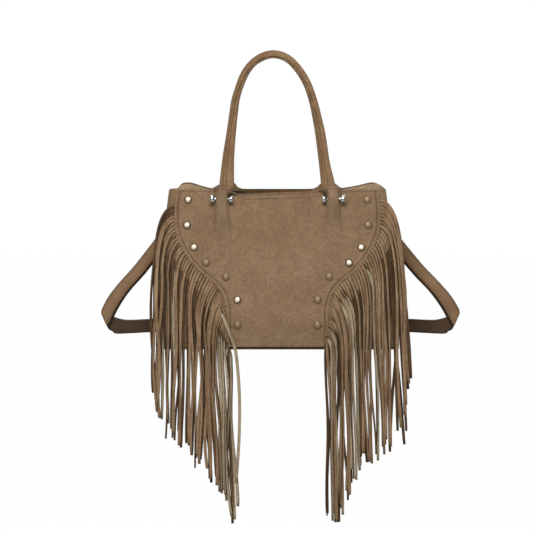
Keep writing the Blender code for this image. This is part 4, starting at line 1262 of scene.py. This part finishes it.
def rounded_loop(corners, radius):
    """A closed line through corners, each rounded by an arc."""
    path = []
    count = len(corners)
    for i in range(count):
        before, here, after = (np.array(corners[(i + k) % count], float) for k in (-1, 0, 1))
        a = here + unit(before - here) * radius
        b = here + unit(after - here) * radius
        for t in np.linspace(0, 1, 7):
            path.append((1 - t) ** 2 * a + 2 * t * (1 - t) * here + t * t * b)
    return path


def chape(word, side):
    """A folded leather loop on the back panel that holds a ring, with a stitched box."""
    near = 0.3 + CHAPE_THICK / 2
    top = RING_DROP - CHAPE_HEIGHT
    middle = side * RING_X
    y = ring_y()
    stations = [((middle, half_depth(top) + near, height(top)), (0, -1, 0))]
    for i in range(13):
        turn = math.pi * i / 12
        normal = np.array((0, -math.cos(turn), -math.sin(turn)))
        centre = (middle, y + LOOP_RADIUS * normal[1], height(RING_DROP) + LOOP_RADIUS * normal[2])
        stations.append((centre, normal))
    stations.append(((middle, half_depth(top) + near + 2 * LOOP_RADIUS, height(top)), (0, 1, 0)))
    half = (STRAP_WIDTH - 4) / 2
    inset = half - 0.6
    section = [(-inset, -1), (0, -1.05), (inset, -1), (half, 0)]
    section += [(inset, 1), (0, 1.1), (-inset, 1), (-half, 0)]
    rings = []
    for centre, normal in stations:
        across, out = np.array((side, 0, 0)), np.array(normal) * CHAPE_THICK / 2
        rings.append([np.array(centre) + across * a + out * b for a, b in section])
    tube(f"chape_suede_{word}", rings, FACE, [f"chape_{word}"])
    outer = half_depth(top) + near + 2 * LOOP_RADIUS + CHAPE_THICK / 2
    low = y + LOOP_RADIUS + CHAPE_THICK / 2
    x0, x1 = middle - half + 2, middle + half - 2
    z0, z1 = height(top) - 2, height(RING_DROP) + 4
    box = [(x0, outer, z0), (x1, outer, z0), (x1, low, z1), (x0, low, z1), (x0, outer, z0)]
    rows = [stitch_row(box[i : i + 2], (0, 1, 0), CHAPE_STITCH) for i in range(4)]
    stitches(f"chape_stitches_{word}", rows, THREAD)


def snap():
    """The two halves of a magnetic snap, on the lining behind the box of stitches and opposite it."""
    face = half_depth(SNAP_DROP) - SNAP_OUT
    for name, side, nose in (("snap_socket", -1, 0.8), ("snap_post", 1, 2.2)):
        profile = [
            (-0.4, 0.1), (-0.4, 8.6), (0.1, 9), (1.5, 9), (2.2, 8.5), (2.6, 7.6), (2.6, 4.2), (2.7, 3.9),
            (2.6 + nose - 0.3, 3.6), (2.6 + nose, 3.2), (2.6 + nose, 0.1),
        ]
        centre = (0, side * face, height(SNAP_DROP))
        turned(f"{name}_nickel", centre, (0, -side, 0), profile, [NICKEL], name)


# Stitching on the body.


def stitched_line(a, b, kind=BOX_STITCH):
    """Stitches on the overlay's face along a straight line between two (x, drop) places."""
    places = [(a[0] + (b[0] - a[0]) * t, a[1] + (b[1] - a[1]) * t) for t in np.linspace(0, 1, 120)]
    return stitch_row([overlay_point(*place) for place in places], (0, -1, 0), kind)


def body_stitching():
    """Thread along the overlay's edges, the box at the mouth, and along the back's top edge."""
    left, right, low, high = BOX
    rows, back = [], []
    for side in (-1, 1):
        edge = []
        for drop in np.linspace(1.5, 249, 200):
            point, out = edge_frame(drop, side)
            edge.append(overlay_point(*(point - out * 2.6)))
        rows.append(stitch_row(edge, (0, -1, 0), EDGE_STITCH))
        rows.append(stitched_line((side * 155, low), (side * 55, low), MOUTH_STITCH))
    corners = [(left, low), (right, low), (left, high), (right, high)]
    for a, b in ((0, 1), (2, 3), (0, 2), (1, 3)):
        rows.append(stitched_line(corners[a], corners[b]))
    rows.append(stitched_line((left - 2, low), (left - 2, high - 1)))
    stitches("overlay_stitches", rows)
    for start, end, drop, count in BACK_ROWS:
        line = [back_point(x, drop) for x in np.linspace(start, end, count)]
        back.append(stitch_row(line, (0, 1, 0), BACK_STITCH))
    stitches("back_stitches", back)


# Stage.

PICTURE_CENTRE = np.array((-17.6, -55.0, -329.4))
VIEW_WIDTH = 853.0
LENS = 400.0
SENSOR = 36.0
CAMERA_RISE = math.radians(1.3)
FLOOR_Z = -0.93
WORLD_LIGHT = 0.24
# The sky that metal mirrors, from straight down to straight up: a dark band, then white.
SKY_BANDS = [(0.0, 0.15), (0.02, 0.01), (0.68, 0.03), (0.78, 1.0), (1.0, 1.0)]
FLOOR_TONE = 0.45
FLOOR_REACH = 30.0
# How much of the floor's light to the camera is its own, and how strong that is.
FLOOR_WHITE = 0.95
FLOOR_GLOW = 1.04
# Lamps in metres: place, aim, size, power, colour.
LAMPS = {
    "key": ((-0.12, -1.6, 0.6), (0, 0, -0.22), (0.7, 0.5), 27.5, (1, 0.99, 0.97)),
    "fill": ((-1.3, -1.6, 0.1), (0, 0, -0.4), (1.2, 1.2), 4, (0.98, 0.99, 1)),
    "side": ((1.7, -0.3, 0.3), (0, 0, -0.4), (1.0, 1.0), 7, (1, 1, 1)),
    "back": ((0.3, 1.8, 0.8), (0, 0, -0.4), (1.2, 0.9), 34, (1, 1, 1)),
}


def camera():
    """A long lens in front of the bag, a little above its middle."""
    data = bpy.data.cameras.new("camera")
    data.lens = LENS
    data.sensor_width = SENSOR
    data.clip_end = 100
    distance = VIEW_WIDTH * LENS / SENSOR
    eye = PICTURE_CENTRE + distance * np.array((0, -math.cos(CAMERA_RISE), math.sin(CAMERA_RISE)))
    made = bpy.data.objects.new("camera", data)
    made.location = eye * MM
    made.rotation_euler = (math.pi / 2 - CAMERA_RISE, 0, 0)
    bpy.context.scene.collection.objects.link(made)
    bpy.context.scene.camera = made


def lamp(name, place, aim, size, power, colour):
    """A soft rectangular lamp that looks at its aim."""
    data = bpy.data.lights.new(name, "AREA")
    data.shape = "RECTANGLE"
    data.size, data.size_y = size
    data.energy = power
    data.color = colour
    made = bpy.data.objects.new(name, data)
    made.location = place
    direction = np.array(aim, float) - np.array(place, float)
    flat = math.hypot(direction[0], direction[1])
    made.rotation_euler = (math.atan2(flat, -direction[2]), 0, math.atan2(-direction[0], direction[1]))
    bpy.context.scene.collection.objects.link(made)


def world():
    """White to the camera, an even grey light, and in metal a bright sky over a dark band at eye level."""
    made = bpy.data.worlds.new("studio")
    bpy.context.scene.world = made
    made.use_nodes = True
    tree = made.node_tree
    tree.nodes.clear()
    path = tree.nodes.new("ShaderNodeLightPath")
    light, white, shine = (tree.nodes.new("ShaderNodeBackground") for _ in range(3))
    for sky in (light, white):
        sky.inputs["Color"].default_value = (1, 1, 1, 1)
    light.inputs["Strength"].default_value = WORLD_LIGHT
    place = tree.nodes.new("ShaderNodeTexCoord")
    parts = tree.nodes.new("ShaderNodeSeparateXYZ")
    tree.links.new(place.outputs["Generated"], parts.inputs[0])
    bands = tree.nodes.new("ShaderNodeValToRGB")
    fill_ramp(bands.color_ramp, [(at, (value, value, value)) for at, value in SKY_BANDS])
    tree.links.new(parts.outputs["Z"], bands.inputs["Fac"])
    tree.links.new(bands.outputs["Color"], shine.inputs["Color"])
    last = light.outputs[0]
    for ray, sky in (("Is Glossy Ray", shine), ("Is Transmission Ray", white), ("Is Camera Ray", white)):
        mix = tree.nodes.new("ShaderNodeMixShader")
        tree.links.new(path.outputs[ray], mix.inputs[0])
        tree.links.new(last, mix.inputs[1])
        tree.links.new(sky.outputs[0], mix.inputs[2])
        last = mix.outputs[0]
    out = tree.nodes.new("ShaderNodeOutputWorld")
    tree.links.new(last, out.inputs["Surface"])


def floor():
    """A pale floor well under the fringe; it keeps the bag's shadow and looks white to the camera."""
    n = Nodes("floor_white")
    n.shader.inputs["Base Color"].default_value = (FLOOR_TONE, FLOOR_TONE, FLOOR_TONE, 1)
    n.set(Roughness=0.9)
    glow = n.add("ShaderNodeEmission")
    path = n.add("ShaderNodeLightPath")
    share = n.add("ShaderNodeMath", operation="MULTIPLY")
    share.inputs[1].default_value = FLOOR_WHITE
    glow.inputs["Strength"].default_value = FLOOR_GLOW
    n.link(path.outputs["Is Camera Ray"], share.inputs[0])
    mix = n.add("ShaderNodeMixShader")
    n.link(share.outputs[0], mix.inputs[0])
    n.link(n.shader.outputs[0], mix.inputs[1])
    n.link(glow.outputs[0], mix.inputs[2])
    n.link(mix.outputs[0], n.tree.nodes["Material Output"].inputs["Surface"])
    mesh = bpy.data.meshes.new("floor")
    corners = [(-1, -1), (1, -1), (1, 1), (-1, 1)]
    mesh.from_pydata([(x * FLOOR_REACH, y * FLOOR_REACH, FLOOR_Z) for x, y in corners], [], [(0, 1, 2, 3)])
    mesh.materials.append(n.material)
    made = bpy.data.objects.new("floor", mesh)
    bpy.context.scene.collection.objects.link(made)


def main():
    bpy.context.scene.view_settings.view_transform = "Standard"
    camera()
    world()
    floor()
    for name, values in LAMPS.items():
        lamp(name, *values)
    overlay()
    body_panels()
    lining()
    mouth_tape_painted_shade()
    piping()
    fringe()
    for word, side_y, out in (("front", -1, OVERLAY_OUT), ("back", 1, 0.0)):
        handle(word, side_y, out)
        pins(word, side_y, out)
    studs()
    strap()
    strap_hardware()
    snap()
    body_stitching()


main()
